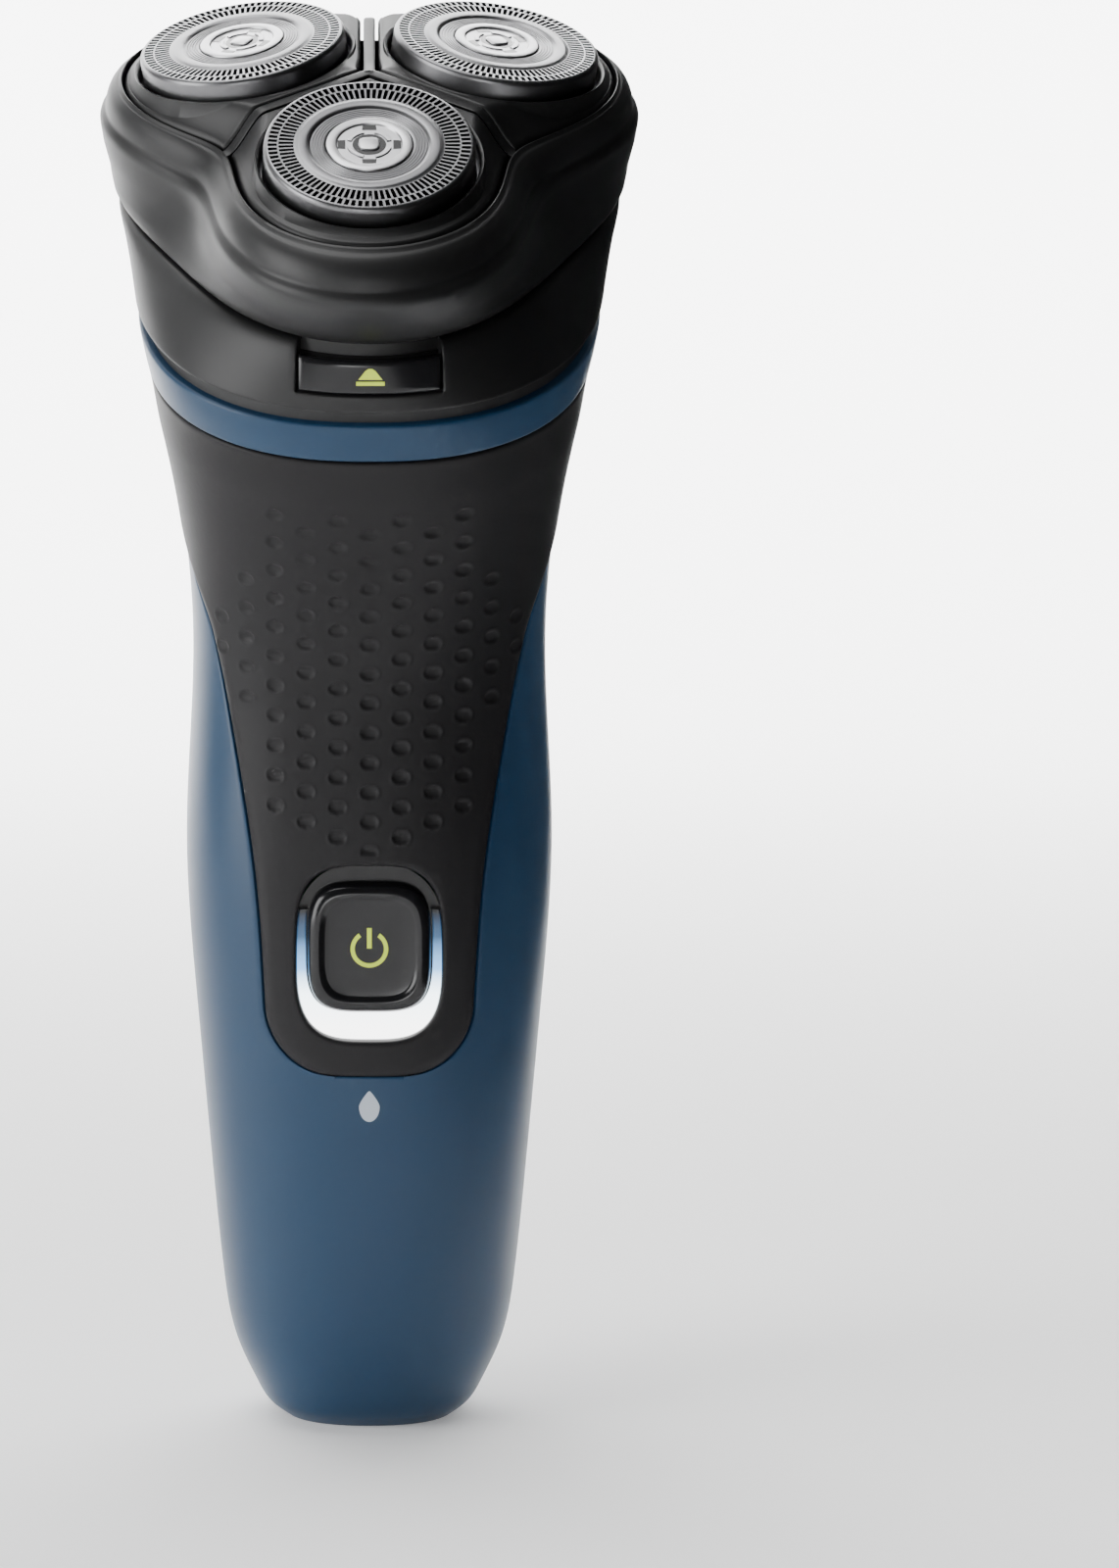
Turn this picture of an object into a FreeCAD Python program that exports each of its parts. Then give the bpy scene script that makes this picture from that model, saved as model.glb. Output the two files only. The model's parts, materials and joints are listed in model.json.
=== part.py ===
"""Rotary electric shaver with a hinged three-head shaving unit, in millimetres.

+Z runs up the handle, the front faces -Y, and the origin is the centre of the flat foot.
The shaving head is tilted forward, so its pieces are drawn in a head frame: u across, v to the
rear and w out of the head. Each cutting head has a pod frame: x outward, y tangential, z out.
"""

import FreeCAD, Part
import math
import os
import sys

import Sketcher
from FreeCAD import Placement, Rotation, Vector

sys.path.append(os.path.join(FreeCAD.getHomePath(), "Mod", "PartDesign"))
from fcgear import involute
from fcgear.fcgear import FCWireBuilder

# ---------------------------------------------------------------- driving dimensions

DIMENSIONS = {
    # shaving head frame
    "head_offset": -4.0, "head_height": 152.5, "head_tilt": 25.0,
    "head_pitch_radius": 16.5, "pod_tilt": 9.5, "pod_swing_depth": 4.9,
    # parting levels along the head axis
    "band_low": -29.9, "band_high": -25.4, "collar_low": -24.0, "parting": -17.0, "parting_gap": 0.15,
    # walls
    "wall": 2.4, "head_wall": 1.8, "panel_thickness": 1.2, "seal_inset": 0.9,
    # guard and cutter, in the pod frame
    "guard_radius": 11.6, "guard_plate": 0.4, "guard_skirt": 4.0, "skirt_wall": 0.45,
    "flange_radius": 12.5, "flange_thickness": 0.6, "guard_eye": 4.4, "eye_depth": 1.4, "eye_wall": 0.5,
    "slot_inner": 7.6, "slot_outer": 10.9, "slot_width": 0.45, "slot_count": 36,
    "cap_play": 0.02, "cap_top": 0.7, "cap_thickness": 0.7, "cap_slot_inner": 2.3, "cap_slot_length": 0.7,
    "cap_slot_width": 1.2, "cap_slot_count": 4,
    "cutter_radius": 10.5, "cutter_top": 2.6, "cutter_thickness": 0.8, "cutter_hub": 3.6,
    "cutter_hub_top": 1.7, "cutter_hub_low": 6.4, "socket_radius": 2.5, "socket_roof": 3.6,
    "blade_inner": 7.6, "blade_outer": 10.4, "blade_width": 0.4, "blade_top": 0.5, "blade_count": 9,
    "blade_root": 2.8,
    # pods
    "pod_top": 2.0, "pod_thickness": 1.8, "pod_hole": 12.1, "pod_gap": 0.98, "well_gap": 0.35,
    "arm_half": 0.65, "arm_low": -7.5, "arm_top": -1.0, "arm_overlap": 0.4,
    "lug_inner": 12.9, "lug_outer": 14.2, "lug_half": 1.2, "lug_low": 6.1, "trunnion_end": 15.4,
    "trunnion_radius": 0.75, "trunnion_play": 0.1,
    # gear train
    "gear_module": 0.5, "gear_relief": 0.985, "pinion_teeth": 12, "wheel_teeth": 26, "middle_teeth": 31,
    "drive_teeth": 32, "gear_face": 2.6, "drive_layer": -23.0, "wheel_layer": -26.2,
    "axle_radius": 1.0, "axle_play": 0.05, "axle_top": -20.3,
    "plate_low": -28.4, "plate_high": -26.8, "plate_play": 0.3,
    "boss_radius": 3.0, "boss_bore": 2.4, "boss_top": -12.6, "boss_floor": -19.5,
    "spindle_radius": 1.3, "spindle_tip": -5.3, "spindle_foot": 2.3, "spindle_foot_low": -15.4,
    "spindle_foot_high": -14.4, "spring_wire": 0.25, "spring_radius": 1.9,
    "spindle_seal": 3.8, "seal_play": 0.06, "floor_low": -19.6, "floor_high": -18.6,
    # motor
    "motor_radius": 8.5, "motor_length": 20.0, "motor_wall": 0.8, "motor_face": 1.0, "shaft_radius": 1.0,
    "shaft_play": 0.06, "rotor_radius": 5.6, "magnet_inner": 6.1, "magnet_outer": 7.6,
    # head hinge at the rear
    "hinge_back": 25.3, "hinge_level": -17.0, "knuckle_radius": 1.9, "knuckle_half": 7.0,
    "knuckle_outer": 12.5, "knuckle_gap": 0.35, "hinge_pin": 0.9, "hinge_play": 0.05,
    # retaining frame and its knob
    "retainer_low": -10.6, "retainer_high": -9.4, "retainer_hole": 9.0, "retainer_ring": 16.0,
    "retainer_play": 0.2, "knob_radius": 5.0, "knob_low": -12.2, "knob_high": -10.8,
    "knob_stem": 1.4, "knob_stem_play": 0.08, "knob_rib_low": -13.4, "knob_rib": 1.6,
    # release button
    "release_half": 7.85, "release_low": -21.85, "release_high": -18.3, "release_depth": 2.2,
    "release_gap": 0.25, "release_seat": -28.3,
    # power button and its light
    "power_height": 56.4, "power_width": 13.7, "power_tall": 14.5, "power_corner": 5.0,
    "power_front": -17.4, "power_depth": 1.9, "recess_width": 16.2, "recess_low": 46.0,
    "recess_high": 65.7, "recess_corner": 6.6, "plate_front": -14.9, "plate_depth": 1.0,
    "guide_front": -16.3, "guide_top": 58.5, "guide_gap": 0.35, "stem_radius": 1.6, "stem_end": -13.2,
    "stem_hole": 1.9,
    # front panel outline
    "panel_low": 42.0, "panel_top": 91.47, "panel_foot_half": 11.9, "panel_top_half": 17.76, "panel_corner": 8.0,
    # electrics
    "board_back": -8.4, "board_thickness": 1.0, "board_half": 11.0, "board_low": 30.0, "board_high": 84.0,
    "frame_back": -6.6, "frame_thickness": 1.6, "frame_half": 11.5, "frame_low": 22.0, "frame_high": 96.0,
    "cell_radius": 6.9, "cell_across": 7.4, "cell_back": 3.4, "cell_low": 27.0, "cell_high": 77.0,
    "jack_height": 13.0, "jack_half": 5.9, "jack_tall": 7.4, "jack_wall": 1.05, "jack_inner": 4.6,
    "jack_floor": 2.0, "pin_radius": 0.8, "pin_across": 1.9, "pin_end": 10.5,
}

# Outer skin of the handle: height, y of its centre, forward lean, half width, reach to the front, to the rear
STATIONS = {
    "foot": (0.0, 0.0, 0.0, 9.6, 9.0, 9.0),
    "sole": (1.2, 0.0, 0.0, 11.2, 10.5, 10.4),
    "heel": (3.5, 0.0, 0.0, 12.8, 11.9, 11.6),
    "toe": (8.0, 0.0, 0.0, 14.9, 13.6, 13.2),
    "calf": (16.0, 0.0, 0.0, 16.6, 15.2, 14.7),
    "shin": (30.0, 0.1, 0.0, 18.0, 16.7, 16.1),
    "knee": (48.0, 0.2, 0.0, 19.6, 17.6, 17.0),
    "bulge": (67.0, 0.2, 0.0, 20.7, 17.2, 16.9),
    "waist": (90.0, 0.5, 8.5, 19.9, 15.9, 16.0),
    "neck": (108.0, 1.1, 18.0, 21.8, 20.6, 18.6),
    "yoke": (122.2, 1.7, 25.0, 24.9, 26.5, 23.4),
    "band": (127.4, 2.2, 25.0, 26.0, 28.9, 25.3),
}
SQUARENESS = 2.3

# Side view of the front panel's edge above its tongue: y and height
SEAM = [(-8.05, 91.47), (-5.13, 97.16), (-0.03, 103.72), (5.57, 113.64), (9.69, 125.93), (14.5, 142.0)]

# Shaving head skin: level along w, mean radius, three-lobe, six-lobe and forward terms
CREASE = (28.0, 2.8, 0.0, 0.8)
HEAD_SKIN = [
    (-16.85, CREASE),
    (-12.6, (27.65, 5.15, -0.2, 2.0)),
    (-9.2, (27.6, 6.2, -0.3, 2.3)),
    (-7.2, (26.8, 6.2, -0.3, 2.0)),
    (-5.0, (25.6, 6.0, -0.4, 0.9)),
]
POD_OUTLINE = (24.4, 6.1, -0.4, 0.6)

HEADS = {"front": -90.0, "right": 30.0, "left": 150.0}

doc = FreeCAD.newDocument("electric_shaver")
sheet = doc.addObject("Spreadsheet::Sheet", "Sizes")
subparts = []


class Size:
    """A number together with the sheet expression that gives it."""

    def __init__(self, value, text):
        self.value = value
        self.text = text

    def joined(self, other, sign, value):
        return Size(value, f"({self.text} {sign} {as_size(other).text})")

    def __float__(self):
        return float(self.value)

    def __add__(self, other):
        return self.joined(other, "+", self.value + float(other))

    def __sub__(self, other):
        return self.joined(other, "-", self.value - float(other))

    def __mul__(self, other):
        return self.joined(other, "*", self.value * float(other))

    def __truediv__(self, other):
        return self.joined(other, "/", self.value / float(other))

    def __neg__(self):
        return Size(-self.value, f"(0 - {self.text})")

    def __rsub__(self, other):
        return as_size(other) - self

    def __radd__(self, other):
        return as_size(other) + self

    def __rmul__(self, other):
        return self * other


def as_size(number):
    return number if isinstance(number, Size) else Size(float(number), repr(float(number)))


class Sizes:
    """The sheet's cells by name."""


def fill_sheet():
    """Write every driving dimension to the sheet and return them by name."""
    values = dict(DIMENSIONS)
    for station, row in STATIONS.items():
        for field, value in zip(("height", "centre", "lean", "half", "front", "rear"), row):
            values[f"{station}_{field}"] = value
    sizes = Sizes()
    for row, (name, value) in enumerate(values.items(), start=1):
        sheet.set(f"A{row}", name)
        sheet.set(f"B{row}", str(value))
        sheet.setAlias(f"B{row}", name)
        setattr(sizes, name, Size(float(value), f"Sizes.{name}"))
    doc.recompute()
    return sizes


d = fill_sheet()

HEAD = Placement(Vector(0, float(d.head_offset), float(d.head_height)), Rotation(Vector(1, 0, 0), float(d.head_tilt)))


def pod_frame(angle):
    """Frame of one cutting head: its origin is on the guard's face, and its z leans outward."""
    turn = math.radians(angle)
    radius = float(d.head_pitch_radius)
    centre = Vector(radius * math.cos(turn), radius * math.sin(turn), 0)
    lean = Rotation(Vector(0, 0, 1), angle) * Rotation(Vector(0, 1, 0), float(d.pod_tilt))
    return HEAD * Placement(centre, lean)


PODS = {side: pod_frame(angle) for side, angle in HEADS.items()}


# ---------------------------------------------------------------- document helpers

def bind(thing, prop, size):
    """Set a property to a size, and tie it to the sheet where the size comes from there."""
    size = as_size(size)
    if "Sizes." in size.text:
        thing.setExpression(prop, size.text)
    elif "." not in prop:
        setattr(thing, prop, float(size))


def settle(thing, name, placement=None):
    """Register an object as a sub-part."""
    thing.Label = name
    if placement is not None:
        thing.Placement = placement
    subparts.append(thing)
    return thing


def move(thing, x=0, y=0, z=0, rotation=None):
    """Place a primitive, each coordinate tied to the sheet."""
    if rotation is not None:
        thing.Placement = Placement(Vector(0, 0, 0), rotation)
    base = thing.Placement
    base.Base = Vector(float(x), float(y), float(z))
    thing.Placement = base
    for axis, size in (("x", x), ("y", y), ("z", z)):
        bind(thing, f"Placement.Base.{axis}", size)
    return thing


def box(name, x, y, z):
    """A box given by its (low, high) limits along each axis."""
    block = doc.addObject("Part::Box", name)
    for prop, (low, high) in zip(("Length", "Width", "Height"), (x, y, z)):
        bind(block, prop, as_size(high) - low)
    return move(block, x[0], y[0], z[0])


def rod(name, radius, low, high, x=0, y=0):
    """A cylinder along z."""
    cylinder = doc.addObject("Part::Cylinder", name)
    bind(cylinder, "Radius", radius)
    bind(cylinder, "Height", as_size(high) - low)
    return move(cylinder, x, y, low)


def cross_rod(name, radius, low, high, y, z):
    """A cylinder along x."""
    cylinder = doc.addObject("Part::Cylinder", name)
    bind(cylinder, "Radius", radius)
    bind(cylinder, "Height", as_size(high) - low)
    return move(cylinder, low, y, z, Rotation(Vector(0, 1, 0), 90))


def depth_rod(name, radius, front, back, x, z):
    """A cylinder along y."""
    cylinder = doc.addObject("Part::Cylinder", name)
    bind(cylinder, "Radius", radius)
    bind(cylinder, "Height", as_size(back) - front)
    return move(cylinder, x, front, z, Rotation(Vector(1, 0, 0), -90))


def fuse(name, *things):
    joined = doc.addObject("Part::MultiFuse", name)
    joined.Shapes = list(things)
    return joined


def cut(name, base, *tools):
    result = doc.addObject("Part::Cut", name)
    result.Base = base
    result.Tool = tools[0] if len(tools) == 1 else fuse(name + "_tools", *tools)
    return result


def group(name, *things):
    """Separate identical pieces that share one node."""
    compound = doc.addObject("Part::Compound", name)
    compound.Links = list(things)
    return compound


def rounded(name, block, radius, axis):
    """Round the four edges of a box that run along one axis."""
    doc.recompute()
    fillet = doc.addObject("Part::Fillet", name)
    fillet.Base = block
    picked = []
    for number, edge in enumerate(block.Shape.Edges, start=1):
        along = edge.Vertexes[1].Point.sub(edge.Vertexes[0].Point)
        if abs(along.normalize().dot(axis)) > 0.99:
            picked.append((number, float(radius), float(radius)))
    fillet.Edges = picked
    return fillet


def shaped(name, shape, placement=None):
    """A piece whose shape is worked out here, for free-form skins and gear teeth."""
    feature = doc.addObject("Part::Feature", name)
    feature.Shape = shape
    if placement is not None:
        feature.Placement = placement
    return feature


# ---------------------------------------------------------------- PartDesign helpers

def new_body(name):
    body = doc.addObject("PartDesign::Body", name)
    body.Label = name
    return body


def sketch_on(body, role, name, offset=0):
    """A sketch on one of the body's own origin planes."""
    plane = next(item for item in body.Origin.OriginFeatures if item.Role == role)
    sketch = body.newObject("Sketcher::SketchObject", name)
    sketch.AttachmentSupport = [(plane, "")]
    sketch.MapMode = "FlatFace"
    sketch.AttachmentOffset = Placement(Vector(0, 0, float(offset)), Rotation())
    bind(sketch, "AttachmentOffset.Base.z", offset)
    return sketch


def polygon(sketch, points):
    """A closed outline whose every corner is tied to the sheet."""
    corners = [(as_size(x), as_size(y)) for x, y in points]
    count = len(corners)
    for index, (x, y) in enumerate(corners):
        ahead = corners[(index + 1) % count]
        start = Vector(float(x), float(y), 0)
        end = Vector(float(ahead[0]), float(ahead[1]), 0)
        sketch.addGeometry(Part.LineSegment(start, end), False)
    for index in range(count):
        sketch.addConstraint(Sketcher.Constraint("Coincident", index, 2, (index + 1) % count, 1))
    for index, corner in enumerate(corners):
        for kind, axis, size in (("DistanceX", -2, corner[0]), ("DistanceY", -1, corner[1])):
            if abs(float(size)) < 1e-9:
                sketch.addConstraint(Sketcher.Constraint("PointOnObject", index, 1, axis))
                continue
            if float(size) > 0:
                limit = Sketcher.Constraint(kind, -1, 1, index, 1, float(size))
            else:
                limit = Sketcher.Constraint(kind, index, 1, -1, 1, -float(size))
                size = -size
            number = sketch.addConstraint(limit)
            if "Sizes." in size.text:
                sketch.setExpression(f"Constraints[{number}]", size.text)


def turned(name, profile):
    """A body of revolution about z; the profile is (radius, height) corners."""
    body = new_body(name)
    sketch = sketch_on(body, "XZ_Plane", name + "_profile")
    polygon(sketch, profile)
    feature = body.newObject("PartDesign::Revolution", name + "_turned")
    feature.Profile = sketch
    feature.ReferenceAxis = (sketch, ["V_Axis"])
    feature.Angle = 360
    sketch.Visibility = False
    return body


def radial_pattern(body, name, kind, low, high, inner, outer, width, count):
    """Cut or add radial bars between two heights, repeated round z."""
    doc.recompute()
    before = body.Shape.Volume
    start = high if kind == "Pocket" else low
    sketch = sketch_on(body, "XY_Plane", name + "_outline", start)
    half = as_size(width) / 2
    polygon(sketch, [(inner, -half), (outer, -half), (outer, half), (inner, half)])
    feature = body.newObject("PartDesign::" + kind, name)
    feature.Profile = sketch
    bind(feature, "Length", as_size(high) - low)
    pattern = body.newObject("PartDesign::PolarPattern", name + "_pattern")
    pattern.Originals = [feature]
    pattern.Axis = (sketch, ["N_Axis"])
    pattern.Angle = 360
    bind(pattern, "Occurrences", count)
    body.Tip = pattern
    doc.recompute()
    change = body.Shape.Volume - before
    if (change > 0) == (kind == "Pocket"):
        raise RuntimeError(f"{name} changed the volume by {change:.3f}")


# ---------------------------------------------------------------- free-form skins

def power(value, exponent):
    return math.copysign(abs(value) ** exponent, value)


def lobed(outline, phi):
    """Radius of a rounded-triangle outline at phi degrees from the front."""
    mean, three, six, forward = outline
    turn = math.radians(phi)
    return mean + three * math.cos(3 * turn) + six * math.cos(6 * turn) + forward * math.cos(turn)


def closed_spline(points):
    curve = Part.BSplineCurve()
    curve.interpolate(points, PeriodicFlag=True)
    return Part.Wire([curve.toShape()])


def station_wire(station, inset):
    """One section of the handle skin, drawn in by inset."""
    height, centre, lean, half, front, rear = (
        float(getattr(d, f"{station}_{field}")) for field in ("height", "centre", "lean", "half", "front", "rear"))
    place = Placement(Vector(0, centre, height), Rotation(Vector(1, 0, 0), lean))
    points = []
    for phi in range(0, 360, 15):
        turn = math.radians(phi)
        reach = (front if math.cos(turn) > 0 else rear) - inset
        across = (half - inset) * power(math.sin(turn), 2 / SQUARENESS)
        along = -reach * power(math.cos(turn), 2 / SQUARENESS)
        points.append(place.multVec(Vector(across, along, 0)))
    return closed_spline(points)


def lobed_wire(level, outline, inset):
    """One section of the shaving head, drawn in by inset."""
    points = []
    for phi in range(0, 360, 15):
        radius = lobed(outline, phi) - inset
        turn = math.radians(phi)
        points.append(HEAD.multVec(Vector(radius * math.sin(turn), -radius * math.cos(turn), level)))
    return closed_spline(points)


def handle_loft(inset, first="foot"):
    """The handle skin from a station up to the head's parting level."""
    names = list(STATIONS)
    wires = [station_wire(name, inset) for name in names[names.index(first):]]
    wires.append(lobed_wire(float(d.parting), CREASE, inset))
    return Part.makeLoft(wires, True, False)


def head_loft(inset, top=True, below=False):
    """The shaving head's skin above the parting level, or run on below it."""
    rows = HEAD_SKIN if top else HEAD_SKIN[:-1]
    if below:
        rows = [(-19.0, CREASE)] + rows
    return Part.makeLoft([lobed_wire(level, outline, inset) for level, outline in rows], True, False)


BIG = 60.0
SPAN = 300.0


def head_box(u, v, w):
    """A block in the head frame, given by its (low, high) limits."""
    block = Part.makeBox(u[1] - u[0], v[1] - v[0], w[1] - w[0], Vector(u[0], v[0], w[0]))
    block.Placement = HEAD
    return block


def head_rod(radius, low, high, u=0.0, v=0.0):
    cylinder = Part.makeCylinder(radius, high - low, Vector(u, v, low))
    cylinder.Placement = HEAD
    return cylinder


def head_cross_rod(radius, low, high):
    """A cylinder on the head hinge's axis."""
    start = Vector(low, float(d.hinge_back), float(d.hinge_level))
    cylinder = Part.makeCylinder(radius, high - low, start, Vector(1, 0, 0))
    cylinder.Placement = HEAD
    return cylinder


def slab(low, high):
    """Everything between two levels of the head frame."""
    return head_box((-BIG, BIG), (-SPAN, SPAN), (float(low), float(high)))


def at_angle(angle, radius):
    turn = math.radians(angle)
    return radius * math.cos(turn), radius * math.sin(turn)


DRIVE_RADIUS = float(d.gear_module) * (float(d.middle_teeth) + float(d.drive_teeth)) / 2
MOTOR_BACK = -float(d.gear_module) * (float(d.pinion_teeth) + float(d.wheel_teeth)) / 2
DRIVES = {side: at_angle(angle, DRIVE_RADIUS) for side, angle in HEADS.items()}
PLATE_POSTS = [(17.3, -10.0), (-17.3, -10.0), (0.0, 11.5)]

outer_skin = handle_loft(0.0)
inner_skin = handle_loft(float(d.wall), "heel")
panel_skin = handle_loft(float(d.panel_thickness), "heel")
hollow = outer_skin.cut(inner_skin)


# ---------------------------------------------------------------- handle shells

def panel_mask():
    """The space that the front panel takes: a tongue below, the whole front above."""
    top = float(d.panel_top)
    low = float(d.panel_low)
    foot = float(d.panel_foot_half)
    edge_top = float(d.panel_top_half)
    corner = float(d.panel_corner)
    side = Part.BSplineCurve()
    side.interpolate([Vector(edge_top, 0, top), Vector(15.2, 0, 79.0), Vector(13.0, 0, 65.0),
                      Vector(foot, 0, low + corner)])
    bend = corner * (1 - math.sqrt(0.5))
    arc = Part.Arc(Vector(foot, 0, low + corner), Vector(foot - bend, 0, low + bend), Vector(foot - corner, 0, low))
    half = [side.toShape(), arc.toShape()]
    mirror = [edge.mirror(Vector(0, 0, 0), Vector(1, 0, 0)) for edge in half]
    ends = [Part.makeLine(Vector(foot - corner, 0, low), Vector(corner - foot, 0, low)),
            Part.makeLine(Vector(edge_top, 0, top), Vector(-edge_top, 0, top))]
    tongue = Part.Face(Part.Wire(Part.__sortEdges__(half + mirror + ends)))
    tongue.translate(Vector(0, 0.9, 0))
    tongue = tongue.extrude(Vector(0, -BIG, 0))
    seam = Part.BSplineCurve()
    seam.interpolate([Vector(-BIG, y, z) for y, z in SEAM])
    start, end = Vector(-BIG, *SEAM[0]), Vector(-BIG, *SEAM[-1])
    front_low, front_high = Vector(-BIG, -BIG, start.z), Vector(-BIG, -BIG, end.z)
    edges = [seam.toShape(), Part.makeLine(end, front_high), Part.makeLine(front_high, front_low),
             Part.makeLine(front_low, start)]
    upper = Part.Face(Part.Wire(Part.__sortEdges__(edges))).extrude(Vector(2 * BIG, 0, 0))
    return tongue.fuse(upper)


def rounded_prism(half, low, high, corner, front, back):
    """A rounded rectangle standing in the x-z plane, drawn from front to back along y."""
    block = Part.makeBox(2 * half, back - front, high - low, Vector(-half, front, low))
    upright = [edge for edge in block.Edges
               if abs(edge.Vertexes[0].Point.y - edge.Vertexes[1].Point.y) > 0.5 * (back - front)]
    return block.makeFillet(corner, upright)


def recess(shrink, front=-30.0, back=-8.0):
    half = float(d.recess_width) / 2 - shrink
    return rounded_prism(half, float(d.recess_low) + shrink, float(d.recess_high) - shrink,
                         float(d.recess_corner) - shrink, front, back)


def jack_block(shrink, front):
    half = float(d.jack_half) - shrink
    tall = float(d.jack_tall) / 2 - shrink
    height = float(d.jack_height)
    return rounded_prism(half, height - tall, height + tall, tall - 0.4, front, 30.0)


def make_handle():
    """Housing, front panel, neck ring and neck seal."""
    low = float(d.band_low)
    below = slab(-SPAN, low)
    zone = outer_skin.cut(panel_skin).common(panel_mask()).common(below)
    panel = zone.cut(recess(0.0))
    housing = hollow.common(below).cut(zone).cut(recess(0.0)).cut(jack_block(0.0, float(d.jack_inner)))
    settle(shaped("main_housing", housing), "main_housing")
    settle(shaped("front_panel", panel), "front_panel")
    settle(shaped("neck_ring", hollow.common(slab(d.band_low, d.band_high))), "neck_ring")
    seal = handle_loft(float(d.seal_inset), "heel").cut(inner_skin)
    settle(shaped("neck_seal", seal.common(slab(d.band_high, d.collar_low))), "neck_seal")


def make_hair_chamber():
    """The collar: a ring with a floor that the drive spindles come up through."""
    top = float(d.parting) - float(d.parting_gap)
    floor_low = float(d.floor_low)
    floor_high = float(d.floor_high)
    ring = hollow.common(slab(d.collar_low, top))
    floor = handle_loft(float(d.wall) / 2, "heel").common(slab(floor_low, floor_high))
    body = ring.fuse(floor)
    for u, v in PLATE_POSTS:
        body = body.fuse(head_rod(2.1, float(d.plate_high), floor_low + 0.3, u, v))
    seat = float(d.release_seat)
    body = body.fuse(head_box((-2.5, 2.5), (seat, seat + 1.5), (float(d.release_low), floor_high)))
    outer = float(d.knuckle_outer)
    inner = float(d.knuckle_half) + float(d.knuckle_gap)
    back = float(d.hinge_back)
    for low, high in ((inner, outer), (-outer, -inner)):
        web = head_box((low, high), (back - 3.0, back), (top - 1.9, top))
        body = body.fuse([head_cross_rod(float(d.knuckle_radius), low, high), web])
    tools = [head_cross_rod(float(d.knuckle_radius) + float(d.knuckle_gap), -inner, inner),
             head_cross_rod(float(d.hinge_pin) + float(d.hinge_play), -outer - 1, outer + 1)]
    half = float(d.release_half) + float(d.release_gap)
    seat_block = head_box((-2.5, 2.5), (seat, 0.0), (-BIG, floor_high))
    tools.append(head_box((-half, half), (-BIG, -27.4), (float(d.release_low) - 0.2, 0.0)).cut(seat_block))
    tools.append(head_box((-half - 0.4, half + 0.4), (-BIG / 2, -26.9), (floor_low - 0.1, floor_high + 0.1))
                 .cut(seat_block).common(inner_skin))
    gear_reach = float(d.gear_module) * (float(d.drive_teeth) / 2 + 1) + 0.4
    for u, v in DRIVES.values():
        tools.append(head_rod(float(d.spindle_seal), floor_low - 0.1, floor_high + 0.1, u, v))
        tools.append(head_rod(gear_reach, float(d.collar_low) - 1, float(d.drive_layer) + float(d.gear_face) + 0.3, u, v))
    for u, v in PLATE_POSTS:
        tools.append(head_rod(0.8, float(d.plate_high) - 0.1, float(d.plate_high) + 5.0, u, v))
    settle(shaped("hair_chamber", body.cut(tools)), "hair_chamber")


def make_release_button():
    half = float(d.release_half)
    window = head_box((-half, half), (-BIG, 0.0), (float(d.release_low), float(d.release_high)))
    button = outer_skin.cut(handle_loft(float(d.release_depth), "heel")).common(window)
    settle(shaped("release_button", button), "release_button")
    coil = helix(1.2, 0.2, 1.9, 3.5)
    lie = Placement(Vector(0, -30.5, (float(d.release_low) + float(d.release_high)) / 2), Rotation(Vector(1, 0, 0), -90))
    settle(shaped("release_spring", coil), "release_spring", HEAD * lie)


def helix(radius, wire, length, turns):
    """A round-wire coil along z."""
    path = Part.makeLongHelix(length / turns, length, radius)
    ring = Part.Wire([Part.makeCircle(wire, Vector(radius, 0, 0), Vector(0, 1, 0))])
    return Part.Wire(path.Edges).makePipeShell([ring], True, True)


# ---------------------------------------------------------------- power button

def make_power_button():
    height = float(d.power_height)
    half = float(d.power_width) / 2
    tall = float(d.power_tall) / 2
    gap = float(d.guide_gap)
    plate_front = float(d.plate_front)
    plate = recess(0.05, plate_front, plate_front + float(d.plate_depth))
    hole = Part.makeCylinder(float(d.stem_hole), 20, Vector(0, -20, height), Vector(0, 1, 0))
    settle(shaped("button_plate", plate.cut(hole)), "button_plate")
    guide = recess(0.05, float(d.guide_front), plate_front)
    around = rounded_prism(half + gap, height - tall - gap, height + tall + gap, float(d.power_corner) + gap, -30, 0)
    above = Part.makeBox(BIG, BIG, BIG, Vector(-BIG / 2, -BIG / 2, float(d.guide_top)))
    settle(shaped("light_guide", guide.cut(around).cut(above)), "light_guide")
    block = box("power_block", (-d.power_width / 2, d.power_width / 2), (d.power_front, d.power_front + d.power_depth),
                (d.power_height - d.power_tall / 2, d.power_height + d.power_tall / 2))
    face = rounded("power_face", block, d.power_corner, Vector(0, 1, 0))
    stem = depth_rod("power_stem", d.stem_radius, d.power_front + 1, d.stem_end, 0, d.power_height)
    settle(fuse("power_button", face, stem), "power_button")
    back = d.plate_front + d.plate_depth
    seal = cut("button_seal", depth_rod("seal_disc", 3.2, back, back + 0.5, 0, d.power_height),
               depth_rod("seal_bore", d.stem_radius + 0.08, back - 1, back + 1, 0, d.power_height))
    settle(seal, "button_seal")


# ---------------------------------------------------------------- electrics

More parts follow.
